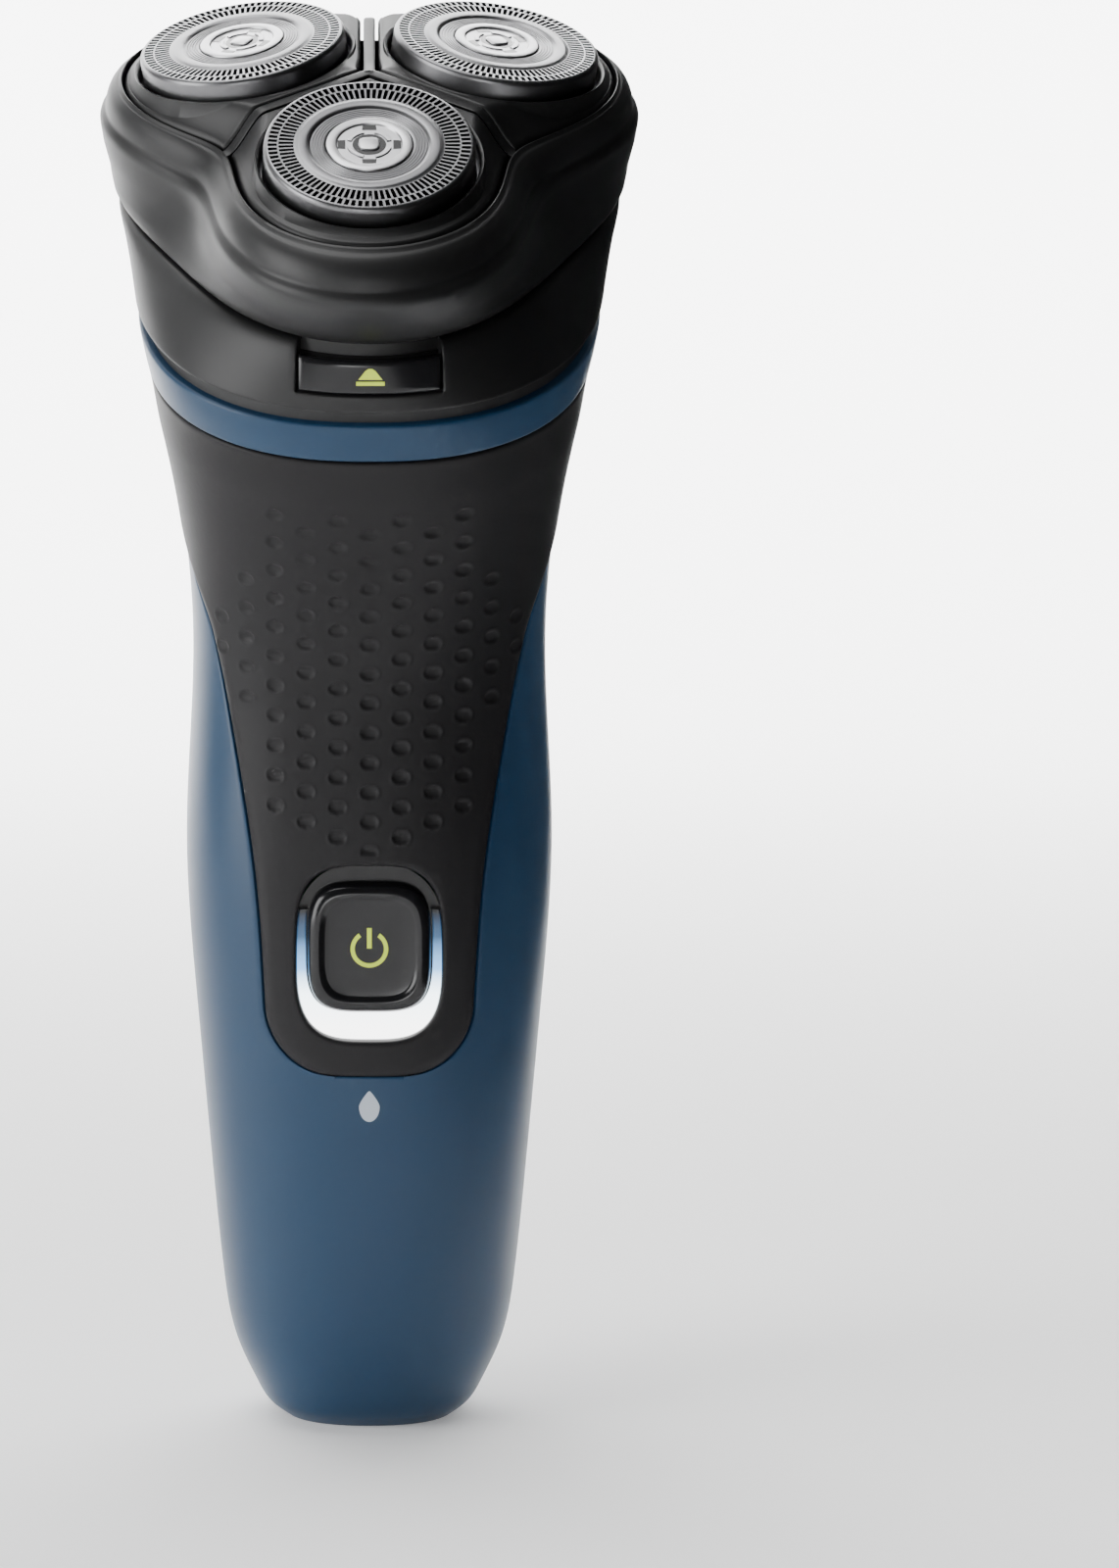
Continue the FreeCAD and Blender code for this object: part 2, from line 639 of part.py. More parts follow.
def make_electrics():
    front = d.board_back - d.board_thickness
    board = box("board_slab", (-d.board_half, d.board_half), (front, d.board_back), (d.board_low, d.board_high))
    settle(rounded("circuit_board", board, 1.5, Vector(0, 1, 0)), "circuit_board")
    height = d.power_height
    can = box("switch_case", (-3, 3), (front - 2.6, front), (height - 3, height + 3))
    cap = depth_rod("switch_cap", 1.5, front - 3.2, front - 2.5, 0, height)
    settle(fuse("tact_switch", can, cap), "tact_switch")
    chip = box("chip_case", (-3.5, 3.5), (front - 1.2, front), (70, 76))
    settle(chip, "control_chip")
    lights = [box(f"led_{n}", (x - 0.8, x + 0.8), (front - 0.9, front), (47.2, 48.6)) for n, x in enumerate((-5, 0, 5))]
    settle(group("status_lights", *lights), "status_lights")
    for side, sign in (("left", -1), ("right", 1)):
        across = d.cell_across * sign
        barrel = rod(f"cell_{side}", d.cell_radius, d.cell_low, d.cell_high - 1, across, d.cell_back)
        nipple = rod(f"cell_tip_{side}", 2.6, d.cell_high - 1, d.cell_high, across, d.cell_back)
        settle(fuse(f"battery_cell_{side}", barrel, nipple), f"battery_cell_{side}")
    strap = box("strap_top", (-d.cell_across - 3, d.cell_across + 3), (d.cell_back - 3, d.cell_back + 3),
                (d.cell_high, d.cell_high + 0.4))
    tabs = [box(f"strap_low_{n}", (x - 3, x + 3), (d.cell_back - 3, d.cell_back + 3), (d.cell_low - 0.4, d.cell_low))
            for n, x in enumerate((-7.4, 7.4))]
    settle(group("battery_contacts", strap, *tabs), "battery_contacts")
    slab_box = box("frame_slab", (-d.frame_half, d.frame_half), (d.frame_back - d.frame_thickness, d.frame_back),
                   (d.frame_low, d.frame_high))
    rail = d.frame_half - 1.2
    rails = [box("rail_left", (-d.frame_half, -rail), (d.frame_back - 0.5, d.frame_back + 2.4), (80, d.frame_high)),
             box("rail_right", (rail, d.frame_half), (d.frame_back - 0.5, d.frame_back + 2.4), (80, d.frame_high))]
    windows = [box(f"frame_window_{n}", (-6, 6), (-20, 5), (z, z + 12)) for n, z in enumerate((30, 62))]
    holes = [depth_rod(f"frame_hole_{n}", 1.0, -20, 5, x, z) for n, (x, z) in enumerate(FRAME_SCREWS)]
    frame = cut("inner_frame", fuse("frame_solid", slab_box, *rails), *windows, *holes)
    settle(frame, "inner_frame")
    screws = []
    for number, (x, z) in enumerate(FRAME_SCREWS):
        head = depth_rod(f"screw_head_{number}", 1.6, d.board_back - 2, d.board_back - 1, x, z)
        shank = depth_rod(f"screw_shank_{number}", 0.95, d.board_back - 1.1, d.frame_back + 1.5, x, z)
        screws.append(fuse(f"frame_screw_{number}", head, shank))
    settle(group("frame_screws", *screws), "frame_screws")
    make_jack()


FRAME_SCREWS = [(-9.2, 88.0), (9.2, 88.0)]


def make_jack():
    """The charging socket in the back, with two contact pins."""
    inner = float(d.jack_inner)
    shell = jack_block(0.0, inner).common(outer_skin)
    cavity = jack_block(float(d.jack_wall), inner + float(d.jack_floor))
    shell = shell.cut(cavity)
    bores = [Part.makeCylinder(float(d.pin_radius), 20, Vector(x * float(d.pin_across), 0, float(d.jack_height)),
                               Vector(0, 1, 0)) for x in (-1, 1)]
    settle(shaped("charging_socket", shell.cut(bores)), "charging_socket")
    pins = [depth_rod(f"jack_pin_{n}", d.pin_radius, d.jack_inner - 2, d.pin_end, d.pin_across * x, d.jack_height)
            for n, x in enumerate((-1, 1))]
    settle(group("socket_pins", *pins), "socket_pins")


# ---------------------------------------------------------------- gears

def gear_face(teeth):
    """A spur gear's outline, its first tooth along +x, thinned a little for backlash."""
    builder = FCWireBuilder()
    involute.CreateExternalGear(builder, float(d.gear_module) * float(d.gear_relief), teeth, 20.0, True)
    return Part.Face(Part.Wire([item.toShape() for item in builder.wire]))


def gear(teeth, low, face, turn, bore):
    """A toothed disc about z with a round bore."""
    disc = gear_face(teeth)
    disc.rotate(Vector(0, 0, 0), Vector(0, 0, 1), turn)
    disc.translate(Vector(0, 0, low))
    return disc.extrude(Vector(0, 0, face)).cut(Part.makeCylinder(bore, face + 2, Vector(0, 0, low - 1)))


def mesh_turn(driver_teeth, driver_turn, teeth, direction):
    """Turn that puts a gap of the driven gear over the driver's tooth, along a direction in degrees."""
    pitch = 360.0 / driver_teeth
    phase = ((direction - driver_turn) / pitch) % 1.0
    return direction + 180.0 + phase * 360.0 / teeth - 180.0 / teeth


def make_gears():
    face = float(d.gear_face)
    drive_low = float(d.drive_layer)
    wheel_low = float(d.wheel_layer)
    wheel_teeth = int(float(d.wheel_teeth))
    middle_teeth = int(float(d.middle_teeth))
    drive_teeth = int(float(d.drive_teeth))
    bore = float(d.axle_radius) + float(d.axle_play)
    middle = gear(middle_teeth, drive_low, face, 0.0, bore)
    wheel = gear(wheel_teeth, wheel_low, face, 0.0, bore)
    hub = Part.makeCylinder(3.5, drive_low - wheel_low - face, Vector(0, 0, wheel_low + face))
    hub = hub.cut(Part.makeCylinder(bore, 40, Vector(0, 0, -40)))
    settle(shaped("compound_gear", middle.fuse([wheel, hub]).removeSplitter()), "compound_gear", HEAD)
    pinion_teeth = int(float(d.pinion_teeth))
    pinion_turn = mesh_turn(wheel_teeth, 0.0, pinion_teeth, -90.0)
    pinion = gear(pinion_teeth, wheel_low, face, pinion_turn, float(d.shaft_radius))
    settle(shaped("motor_pinion", pinion), "motor_pinion", HEAD * Placement(Vector(0, MOTOR_BACK, 0), Rotation()))
    boss = Part.makeCylinder(float(d.boss_radius), float(d.boss_top) - drive_low - 1, Vector(0, 0, drive_low + 1))
    floor = float(d.boss_floor)
    well = Part.makeCylinder(float(d.boss_bore), 20, Vector(0, 0, floor))
    axle = Part.makeCylinder(bore, float(d.axle_top) + 0.2 + 30, Vector(0, 0, -30))
    for side, (u, v) in DRIVES.items():
        turn = mesh_turn(middle_teeth, 0.0, drive_teeth, HEADS[side])
        wheel_shape = gear(drive_teeth, drive_low, face, turn, bore).fuse(boss).cut([well, axle])
        place = HEAD * Placement(Vector(u, v, 0), Rotation())
        settle(shaped(f"drive_gear_{side}", wheel_shape), f"drive_gear_{side}", place)
        make_spindle(side, place)


def make_spindle(side, place):
    """The drive spindle, sprung inside the gear's tall boss."""
    spindle = turned(f"drive_spindle_{side}", [
        (0, d.spindle_foot_low), (d.spindle_foot, d.spindle_foot_low), (d.spindle_foot, d.spindle_foot_high),
        (d.spindle_radius, d.spindle_foot_high), (d.spindle_radius, d.spindle_tip - 0.4),
        (d.spindle_radius - 0.4, d.spindle_tip), (0, d.spindle_tip)])
    settle(spindle, f"drive_spindle_{side}", place)
    wire = float(d.spring_wire)
    low = float(d.boss_floor) + wire + 0.02
    coil = helix(float(d.spring_radius), wire, float(d.spindle_foot_low) - low - wire - 0.02, 4)
    lift = Placement(Vector(0, 0, low), Rotation())
    settle(shaped(f"spindle_spring_{side}", coil), f"spindle_spring_{side}", place * lift)


def make_gear_plate():
    """The plate that carries the gear axles and the motor."""
    low = float(d.plate_low)
    high = float(d.plate_high)
    plate = handle_loft(float(d.wall) + float(d.plate_play), "heel").common(slab(low, high))
    tools = [head_rod(1.4, low - 1, high + 1, 0.0, MOTOR_BACK)]
    spots = list(DRIVES.values()) + [(0.0, 0.0)]
    tools += [head_rod(float(d.axle_radius), low - 1, high + 1, u, v) for u, v in spots]
    tools += [head_rod(0.8, low - 1, high + 1, u, v) for u, v in PLATE_POSTS]
    tools += [head_rod(0.8, low - 1, high + 1, u, MOTOR_BACK) for u in (-5.6, 5.6)]
    settle(shaped("gear_plate", plate.cut(tools)), "gear_plate")
    axles = [rod(f"axle_{n}", d.axle_radius, d.plate_low, d.axle_top, u, v) for n, (u, v) in enumerate(spots)]
    settle(group("gear_axles", *axles), "gear_axles", HEAD)
    screws = []
    for number, (u, v) in enumerate(PLATE_POSTS):
        head = rod(f"plate_screw_head_{number}", 1.5, d.plate_low - 0.8, d.plate_low, u, v)
        shank = rod(f"plate_screw_shank_{number}", 0.78, d.plate_low - 0.1, d.plate_high + 4.5, u, v)
        screws.append(fuse(f"plate_screw_{number}", head, shank))
    settle(group("plate_screws", *screws), "plate_screws", HEAD)
    seals = []
    for side, (u, v) in DRIVES.items():
        ring = rod(f"seal_ring_{side}", d.spindle_seal, d.floor_low, d.floor_high, u, v)
        eye = rod(f"seal_eye_{side}", d.boss_radius + d.seal_play, d.floor_low - 1, d.floor_high + 1, u, v)
        seals.append(cut(f"spindle_seal_{side}", ring, eye))
    settle(group("spindle_seals", *seals), "spindle_seals", HEAD)


# ---------------------------------------------------------------- motor

def make_motor():
    """A small direct-current motor along the head axis, in front of the gear centre."""
    place = HEAD * Placement(Vector(0, MOTOR_BACK, 0), Rotation())
    top = d.plate_low
    low = d.plate_low - d.motor_length
    bearing = d.shaft_radius + d.shaft_play
    inner = d.motor_radius - d.motor_wall
    settle(turned("motor_can", [
        (bearing, top), (d.motor_radius, top), (d.motor_radius, low + 1.5), (inner, low + 1.5),
        (inner, top - d.motor_face), (bearing, top - d.motor_face)]), "motor_can", place)
    settle(turned("motor_end_cap", [
        (bearing, low), (d.motor_radius - 0.3, low), (d.motor_radius - 0.3, low + 1.5), (bearing, low + 1.5)]),
        "motor_end_cap", place)
    settle(turned("motor_magnets", [
        (d.magnet_inner, low + 4), (d.magnet_outer, low + 4), (d.magnet_outer, top - 3), (d.magnet_inner, top - 3)]),
        "motor_magnets", place)
    settle(turned("rotor_core", [
        (d.shaft_radius, low + 4.5), (d.rotor_radius, low + 4.5), (d.rotor_radius, top - 3.5),
        (d.shaft_radius, top - 3.5)]), "rotor_core", place)
    settle(turned("motor_shaft", [
        (0, low + 0.3), (d.shaft_radius, low + 0.3), (d.shaft_radius, d.wheel_layer + d.gear_face),
        (0, d.wheel_layer + d.gear_face)]), "motor_shaft", place)
    screws = []
    for number, u in enumerate((-5.6, 5.6)):
        head = rod(f"motor_screw_head_{number}", 1.2, d.plate_high, d.plate_high + 0.4, u, 0)
        shank = rod(f"motor_screw_shank_{number}", 0.78, d.plate_low, d.plate_high + 0.1, u, 0)
        screws.append(fuse(f"motor_screw_{number}", head, shank))
    settle(group("motor_screws", *screws), "motor_screws", place)


# ---------------------------------------------------------------- shaving head

def pod_box(side, x, y, z):
    block = Part.makeBox(x[1] - x[0], y[1] - y[0], z[1] - z[0], Vector(x[0], y[0], z[0]))
    block.Placement = PODS[side]
    return block


def pod_rod(side, radius, low, high):
    cylinder = Part.makeCylinder(radius, high - low, Vector(0, 0, low))
    cylinder.Placement = PODS[side]
    return cylinder


def trunnion(side, radius, reach, sign):
    """One of a pod's two swing pins, along the pod's y axis."""
    start = Vector(0, sign * (float(d.lug_outer) - 0.2), -float(d.pod_swing_depth))
    cylinder = Part.makeCylinder(radius, reach - float(d.lug_outer) + 0.2, start, Vector(0, sign, 0))
    cylinder.Placement = PODS[side]
    return cylinder


def outline_prism(outline, inset, low, high):
    """A lobed outline extruded along the head axis."""
    face = Part.Face(lobed_wire(low, outline, inset))
    return face.extrude(HEAD.Rotation.multVec(Vector(0, 0, high - low)))


def pod_wedge(angle):
    """The third of the head that belongs to one pod, drawn in by the gap."""
    gap = float(d.pod_gap)
    tip = at_angle(angle, gap / math.sin(math.radians(60)))
    ends = [at_angle(angle + side, 2 * BIG) for side in (-60, 60)]
    corners = [Vector(tip[0], tip[1], -BIG / 2)]
    corners += [Vector(tip[0] + u, tip[1] + v, -BIG / 2) for u, v in ends]
    wedge = Part.Face(Part.makePolygon(corners + corners[:1])).extrude(Vector(0, 0, BIG))
    wedge.Placement = HEAD
    return wedge


def make_pods():
    prism = outline_prism(POD_OUTLINE, 0.0, -14.0, 8.0)
    top = -float(d.pod_top)
    low = top - float(d.pod_thickness)
    for side, angle in HEADS.items():
        plate = prism.common(pod_wedge(angle)).common(pod_box(side, (-BIG, BIG), (-BIG, BIG), (low, top)))
        plate = plate.cut(pod_rod(side, float(d.pod_hole), low - 1, top + 1))
        pieces = []
        for sign in (-1, 1):
            near, far = sorted((sign * float(d.lug_inner), sign * float(d.lug_outer)))
            half = float(d.lug_half)
            pieces.append(pod_box(side, (-half, half), (near, far), (-float(d.lug_low), low + 0.3)))
            pieces.append(trunnion(side, float(d.trunnion_radius), float(d.trunnion_end), sign))
        settle(shaped(f"head_pod_{side}", plate.fuse(pieces)), f"head_pod_{side}")


def make_guards():
    """Slotted guard, its centre cap and the rotary cutter below it, three times."""
    skirt = d.guard_radius - d.skirt_wall
    flange_low = -d.guard_skirt - d.flange_thickness
    for side, place in PODS.items():
        guard = turned(f"guard_{side}", [
            (d.guard_eye, -d.eye_depth), (d.guard_eye, 0), (d.guard_radius, 0), (d.guard_radius, -d.guard_skirt),
            (d.flange_radius, -d.guard_skirt), (d.flange_radius, flange_low), (skirt, flange_low),
            (skirt, -d.guard_plate), (d.guard_eye + d.eye_wall, -d.guard_plate),
            (d.guard_eye + d.eye_wall, -d.eye_depth)])
        radial_pattern(guard, f"guard_slots_{side}", "Pocket", -d.guard_plate - 0.1, 0, d.slot_inner, d.slot_outer,
                       d.slot_width, d.slot_count)
        settle(guard, f"guard_{side}", place)
        rim = d.guard_eye - d.cap_play
        low = -d.cap_top - d.cap_thickness
        cap = turned(f"guard_cap_{side}", [
            (0, low), (rim, low), (rim, -d.cap_top - 0.3), (rim - 0.5, -d.cap_top), (0, -d.cap_top)])
        radial_pattern(cap, f"cap_slots_{side}", "Pocket", -d.cap_top - 0.4, -d.cap_top, d.cap_slot_inner,
                       d.cap_slot_inner + d.cap_slot_length, d.cap_slot_width, d.cap_slot_count)
        settle(cap, f"guard_cap_{side}", place)
        disc_low = -d.cutter_top - d.cutter_thickness
        cutter = turned(f"cutter_{side}", [
            (0, -d.cutter_hub_top), (d.cutter_hub, -d.cutter_hub_top), (d.cutter_hub, -d.cutter_top),
            (d.cutter_radius, -d.cutter_top), (d.cutter_radius, disc_low), (d.cutter_hub, disc_low),
            (d.cutter_hub, -d.cutter_hub_low), (d.socket_radius, -d.cutter_hub_low),
            (d.socket_radius, -d.socket_roof), (0, -d.socket_roof)])
        radial_pattern(cutter, f"blades_{side}", "Pad", -d.blade_root, -d.blade_top, d.blade_inner, d.blade_outer,
                       d.blade_width, d.blade_count)
        settle(cutter, f"cutter_{side}", place)


def spider_arm(angle):
    """A bar of the frame between two pods, from the middle outward."""
    half = float(d.arm_half)
    low = float(d.arm_low)
    bar = Part.makeBox(BIG, 2 * half, float(d.arm_top) - low, Vector(0, -half, low))
    bar.Placement = HEAD * Placement(Vector(0, 0, 0), Rotation(Vector(0, 0, 1), angle))
    return bar


def make_head_frame():
    """The black shell of the shaving head, with the pods' well and the hinge knuckle."""
    shell = head_loft(0.0)
    well = outline_prism(POD_OUTLINE, -float(d.well_gap), -9.0, 8.0)
    inner = head_loft(float(d.head_wall), top=False, below=True).common(slab(-BIG, -8.9))
    body = shell.cut([well, inner])
    arms = outline_prism(POD_OUTLINE, -float(d.well_gap) - float(d.arm_overlap), -9.0, 8.0)
    arms = arms.common([spider_arm(angle - 60) for angle in HEADS.values()])
    body = body.fuse(arms)
    half = float(d.knuckle_half)
    back = float(d.hinge_back)
    web_low = float(d.parting) + float(d.parting_gap)
    body = body.fuse([head_cross_rod(float(d.knuckle_radius), -half, half),
                      head_box((-half, half), (back - 3.0, back), (web_low, web_low + 1.7)),
                      head_box((-4.0, 4.0), (-30.0, -28.8), (-18.2, -14.0))])
    reach = float(d.knuckle_radius) + float(d.knuckle_gap)
    outer = float(d.knuckle_outer) + float(d.knuckle_gap)
    tools = [head_cross_rod(reach, half + 0.02, outer), head_cross_rod(reach, -outer, -half - 0.02),
             head_cross_rod(float(d.hinge_pin) + float(d.hinge_play), -half - 1, half + 1)]
    for side in HEADS:
        for sign in (-1, 1):
            bore = float(d.trunnion_radius) + float(d.trunnion_play)
            tools.append(trunnion(side, bore, float(d.trunnion_end) + 0.3, sign))
            near, far = sorted((sign * 12.0, sign * (float(d.lug_outer) + 0.3)))
            reach_out = float(d.lug_half) + 0.4
            tools.append(pod_box(side, (-reach_out, reach_out), (near, far), (-float(d.lug_low) - 0.5, 1.0)))
    settle(shaped("head_frame", body.cut(tools)), "head_frame")
    reach = d.knuckle_outer - 0.1
    pin = cross_rod("hinge_pin_rod", d.hinge_pin, -reach, reach, d.hinge_back, d.hinge_level)
    settle(group("hinge_pin", pin), "hinge_pin", HEAD)


def make_retainer():
    """The frame that holds the cutters in the opened head, and its quarter-turn knob."""
    low = float(d.retainer_low)
    high = float(d.retainer_high)
    inset = float(d.head_wall) + float(d.retainer_play)
    plate = head_loft(inset, top=False).common(slab(low, high))
    tools = [head_rod(float(d.knob_stem) + float(d.knob_stem_play), low - 1, high + 1)]
    for angle in HEADS.values():
        u, v = at_angle(angle, float(d.retainer_ring))
        tools.append(head_rod(float(d.retainer_hole), low - 1, high + 1, u, v))
    settle(shaped("retaining_frame", plate.cut(tools)), "retaining_frame")
    disc = rod("knob_disc", d.knob_radius, d.knob_low, d.knob_high)
    stem = rod("knob_stem_rod", d.knob_stem, d.knob_high - 0.1, d.retainer_high + 0.3)
    catch = rod("knob_catch", d.knob_stem + 1, d.retainer_high + 0.2, d.retainer_high + 0.9)
    rib = box("knob_rib_bar", (-d.knob_radius + 0.6, d.knob_radius - 0.6), (-d.knob_rib / 2, d.knob_rib / 2),
              (d.knob_rib_low, d.knob_low + 0.1))
    settle(fuse("lock_knob", disc, stem, catch, rib), "lock_knob", HEAD)


# ---------------------------------------------------------------- build and export

make_handle()
make_hair_chamber()
make_release_button()
make_power_button()
make_electrics()
make_gears()
make_gear_plate()
make_motor()
make_pods()
make_guards()
make_head_frame()
make_retainer()
doc.recompute()

for thing in doc.Objects:
    if "Invalid" in thing.State or "Error" in thing.State:
        raise RuntimeError(f"{thing.Name} failed: {thing.State}")

os.makedirs("parts", exist_ok=True)
for thing in subparts:
    shape = thing.Shape
    if shape.isNull() or not shape.isValid():
        raise RuntimeError(f"{thing.Label} has no valid shape")
    shape.exportStep(os.path.join("parts", thing.Label + ".step"))
print(len(subparts), "sub-parts written")
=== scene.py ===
import json
import math

import bmesh
import bpy
import numpy as np
from mathutils import Matrix, Vector


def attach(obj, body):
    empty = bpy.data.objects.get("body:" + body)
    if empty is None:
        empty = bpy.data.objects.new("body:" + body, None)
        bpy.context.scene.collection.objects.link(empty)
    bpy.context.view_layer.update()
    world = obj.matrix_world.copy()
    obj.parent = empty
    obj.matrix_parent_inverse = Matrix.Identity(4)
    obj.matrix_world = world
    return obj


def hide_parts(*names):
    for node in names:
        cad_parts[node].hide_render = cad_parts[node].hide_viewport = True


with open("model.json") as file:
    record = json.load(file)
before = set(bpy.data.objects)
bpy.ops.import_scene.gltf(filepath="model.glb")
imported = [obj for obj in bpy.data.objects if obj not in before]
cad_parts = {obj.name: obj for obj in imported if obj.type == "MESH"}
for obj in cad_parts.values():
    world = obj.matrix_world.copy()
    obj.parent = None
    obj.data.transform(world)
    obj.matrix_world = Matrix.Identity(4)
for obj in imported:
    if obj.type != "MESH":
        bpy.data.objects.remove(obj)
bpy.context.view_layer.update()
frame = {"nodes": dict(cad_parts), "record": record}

# Lengths are millimetres here; meshes are made in metres.
MM = 0.001
TILT = math.radians(25.0)
LEAN = math.radians(9.5)
HEADS = {"front": -90.0, "right": 30.0, "left": 150.0}
HEAD_Y, HEAD_Z = -4, 152.5
POD_RADIUS = 16.5

# height, y of the centre, lean, half width, reach to the front, reach to the rear
STATIONS = [
    (0.0, 0.0, 0.0, 9.6, 9.0, 9.0),
    (1.2, 0.0, 0.0, 11.2, 10.5, 10.4),
    (3.5, 0.0, 0.0, 12.8, 11.9, 11.6),
    (8.0, 0.0, 0.0, 14.9, 13.6, 13.2),
    (16.0, 0.0, 0.0, 16.6, 15.2, 14.7),
    (30.0, 0.1, 0.0, 18.0, 16.7, 16.1),
    (48.0, 0.2, 0.0, 19.6, 17.6, 17.0),
    (67.0, 0.2, 0.0, 20.7, 17.2, 16.9),
    (90.0, 0.5, 8.5, 19.9, 15.9, 16.0),
    (108.0, 1.1, 18.0, 21.8, 20.6, 18.6),
    (122.2, 1.7, 25.0, 24.9, 26.5, 23.4),
    (127.4, 2.2, 25.0, 26.0, 28.9, 25.3),
]
SQUARE = 2.3
KNOTS = np.array([row[0] for row in STATIONS] + [137.1])
# station value at which the handle's sleeve ends and the neck begins
YOKE = 122.2
# station value at which the grip panel begins
TONGUE = 42.0

# outlines about the shaving head's axis: mean radius, three-lobe, six-lobe and forward terms
CREASE = (28.0, 2.8, 0.0, 0.8)
POD_OUTLINE = (24.4, 6.1, -0.4, 0.6)

# rounded squares of the front: half width, half height, squareness
RECESS = (8.1, 9.85, 3.3)
RECESS_HEIGHT = 55.85
BUTTON = (6.85, 7.25, 3.8)
BUTTON_HEIGHT = 56.4


# ---------------------------------------------------------------- numbers

def natural_weights(knots, at):
    """Weights that a natural cubic spline gives each knot at the wanted places."""
    n = len(knots)
    h = np.diff(knots)
    a = np.zeros((n, n))
    b = np.zeros((n, n))
    a[0, 0] = a[-1, -1] = 1.0
    for i in range(1, n - 1):
        a[i, i - 1], a[i, i], a[i, i + 1] = h[i - 1], 2 * (h[i - 1] + h[i]), h[i]
        b[i, i - 1], b[i, i], b[i, i + 1] = 6 / h[i - 1], -6 / h[i - 1] - 6 / h[i], 6 / h[i]
    bend = np.linalg.solve(a, b)
    at = np.atleast_1d(np.asarray(at, float))
    k = np.clip(np.searchsorted(knots, at) - 1, 0, n - 2)
    step = h[k]
    t = (at - knots[k]) / step
    eye = np.eye(n)
    return ((1 - t)[:, None] * eye[k] + t[:, None] * eye[k + 1]
            + ((1 - t) ** 3 - (1 - t))[:, None] * (step ** 2 / 6)[:, None] * bend[k]
            + (t ** 3 - t)[:, None] * (step ** 2 / 6)[:, None] * bend[k + 1])


def spline(knots, values, at):
    """A natural cubic spline through the values, read at the wanted places."""
    return natural_weights(np.asarray(knots, float), at) @ np.asarray(values, float)


def smooth(x):
    """An eased step from 0 to 1 as x goes from 0 to 1."""
    x = np.clip(x, 0.0, 1.0)
    return x * x * (3 - 2 * x)


def signed_power(x, p):
    return np.sign(x) * np.abs(x) ** p


# ---------------------------------------------------------------- surfaces

def head(u, v, w):
    """Points of the shaving head's own frame, in the row frame."""
    c, s = math.cos(TILT), math.sin(TILT)
    u, v, w = np.broadcast_arrays(np.asarray(u, float), v, w)
    return np.stack([u, HEAD_Y + v * c - w * s, HEAD_Z + v * s + w * c], -1)


def lobed(outline, phi):
    """Radius of a three-lobed outline at angle phi from the front."""
    mean, three, six, forward = outline
    return mean + three * np.cos(3 * phi) + six * np.cos(6 * phi) + forward * np.cos(phi)


def outline_of(front, flank, lobe, six=0.0):
    """Outline coefficients from the radius at the front, the flank and the rear lobe."""
    forward = (front - lobe) / 1.5
    three = (front - flank - forward / 2) / 2
    return ((front + flank) / 2 - six - 0.75 * forward, three, six, forward)


def lobed_points(outline, w, phi, inset=0.0):
    """Points of a three-lobed outline at level w of the head's axis."""
    r = lobed(outline, phi) - inset
    return head(r * np.sin(phi), -r * np.cos(phi), w)


def skin(t, phi, inset=0.0):
    """The handle's outer surface at station value t and angle phi from the front."""
    t, phi, inset = np.broadcast_arrays(np.asarray(t, float), phi, inset)
    weights = natural_weights(KNOTS, t.ravel()).reshape(t.shape + (len(KNOTS),))
    across, along = signed_power(np.sin(phi), 2 / SQUARE), signed_power(np.cos(phi), 2 / SQUARE)
    total = np.zeros(t.shape + (3,))
    for i, (height, centre, lean, half, front, rear) in enumerate(STATIONS):
        lean = math.radians(lean)
        reach = np.where(along > 0, front, rear) - inset
        x = (half - inset) * across
        y = -reach * along
        point = np.stack([x, centre + y * math.cos(lean), height + y * math.sin(lean)], -1)
        total += weights[..., i:i + 1] * point
    total += weights[..., -1:] * lobed_points(CREASE, -17.0, phi, inset)
    return total


def level(w):
    """Station value of a level of the shaving head's axis, on the neck and collar."""
    return YOKE + (np.asarray(w, float) + 29.87) * 1.1557


def outward(points):
    """Unit normals of a grid of points, away from the handle's axis."""
    du = np.gradient(points, axis=1)
    dv = np.gradient(points, axis=0)
    n = np.cross(du, dv)
    n /= np.maximum(np.linalg.norm(n, axis=-1, keepdims=True), 1e-9)
    away = points[..., :2] - np.array([0.0, 2.0])
    turn = np.sign((n[..., :2] * away).sum(-1))
    return n * np.where(turn == 0, 1, turn)[..., None]


def head_matrix():
    """The shaving head's own frame."""
    return Matrix.Translation((0, HEAD_Y, HEAD_Z)) @ Matrix.Rotation(TILT, 4, "X")


def pod_matrix(angle):
    """The frame of one pod: its origin at the guard's middle, its z axis along the cutter's axis."""
    turn = math.radians(angle)
    place = head_matrix() @ Matrix.Translation((POD_RADIUS * math.cos(turn), POD_RADIUS * math.sin(turn), 0))
    return place @ Matrix.Rotation(turn, 4, "Z") @ Matrix.Rotation(LEAN, 4, "Y")


def placed(points, matrix):
    """The points moved by a matrix."""
    m = np.array(matrix)
    return np.asarray(points, float) @ m[:3, :3].T + m[:3, 3]


# ---------------------------------------------------------------- mesh making

# edges that turn by more degrees than this are shaded sharp
SHARP = 38.0


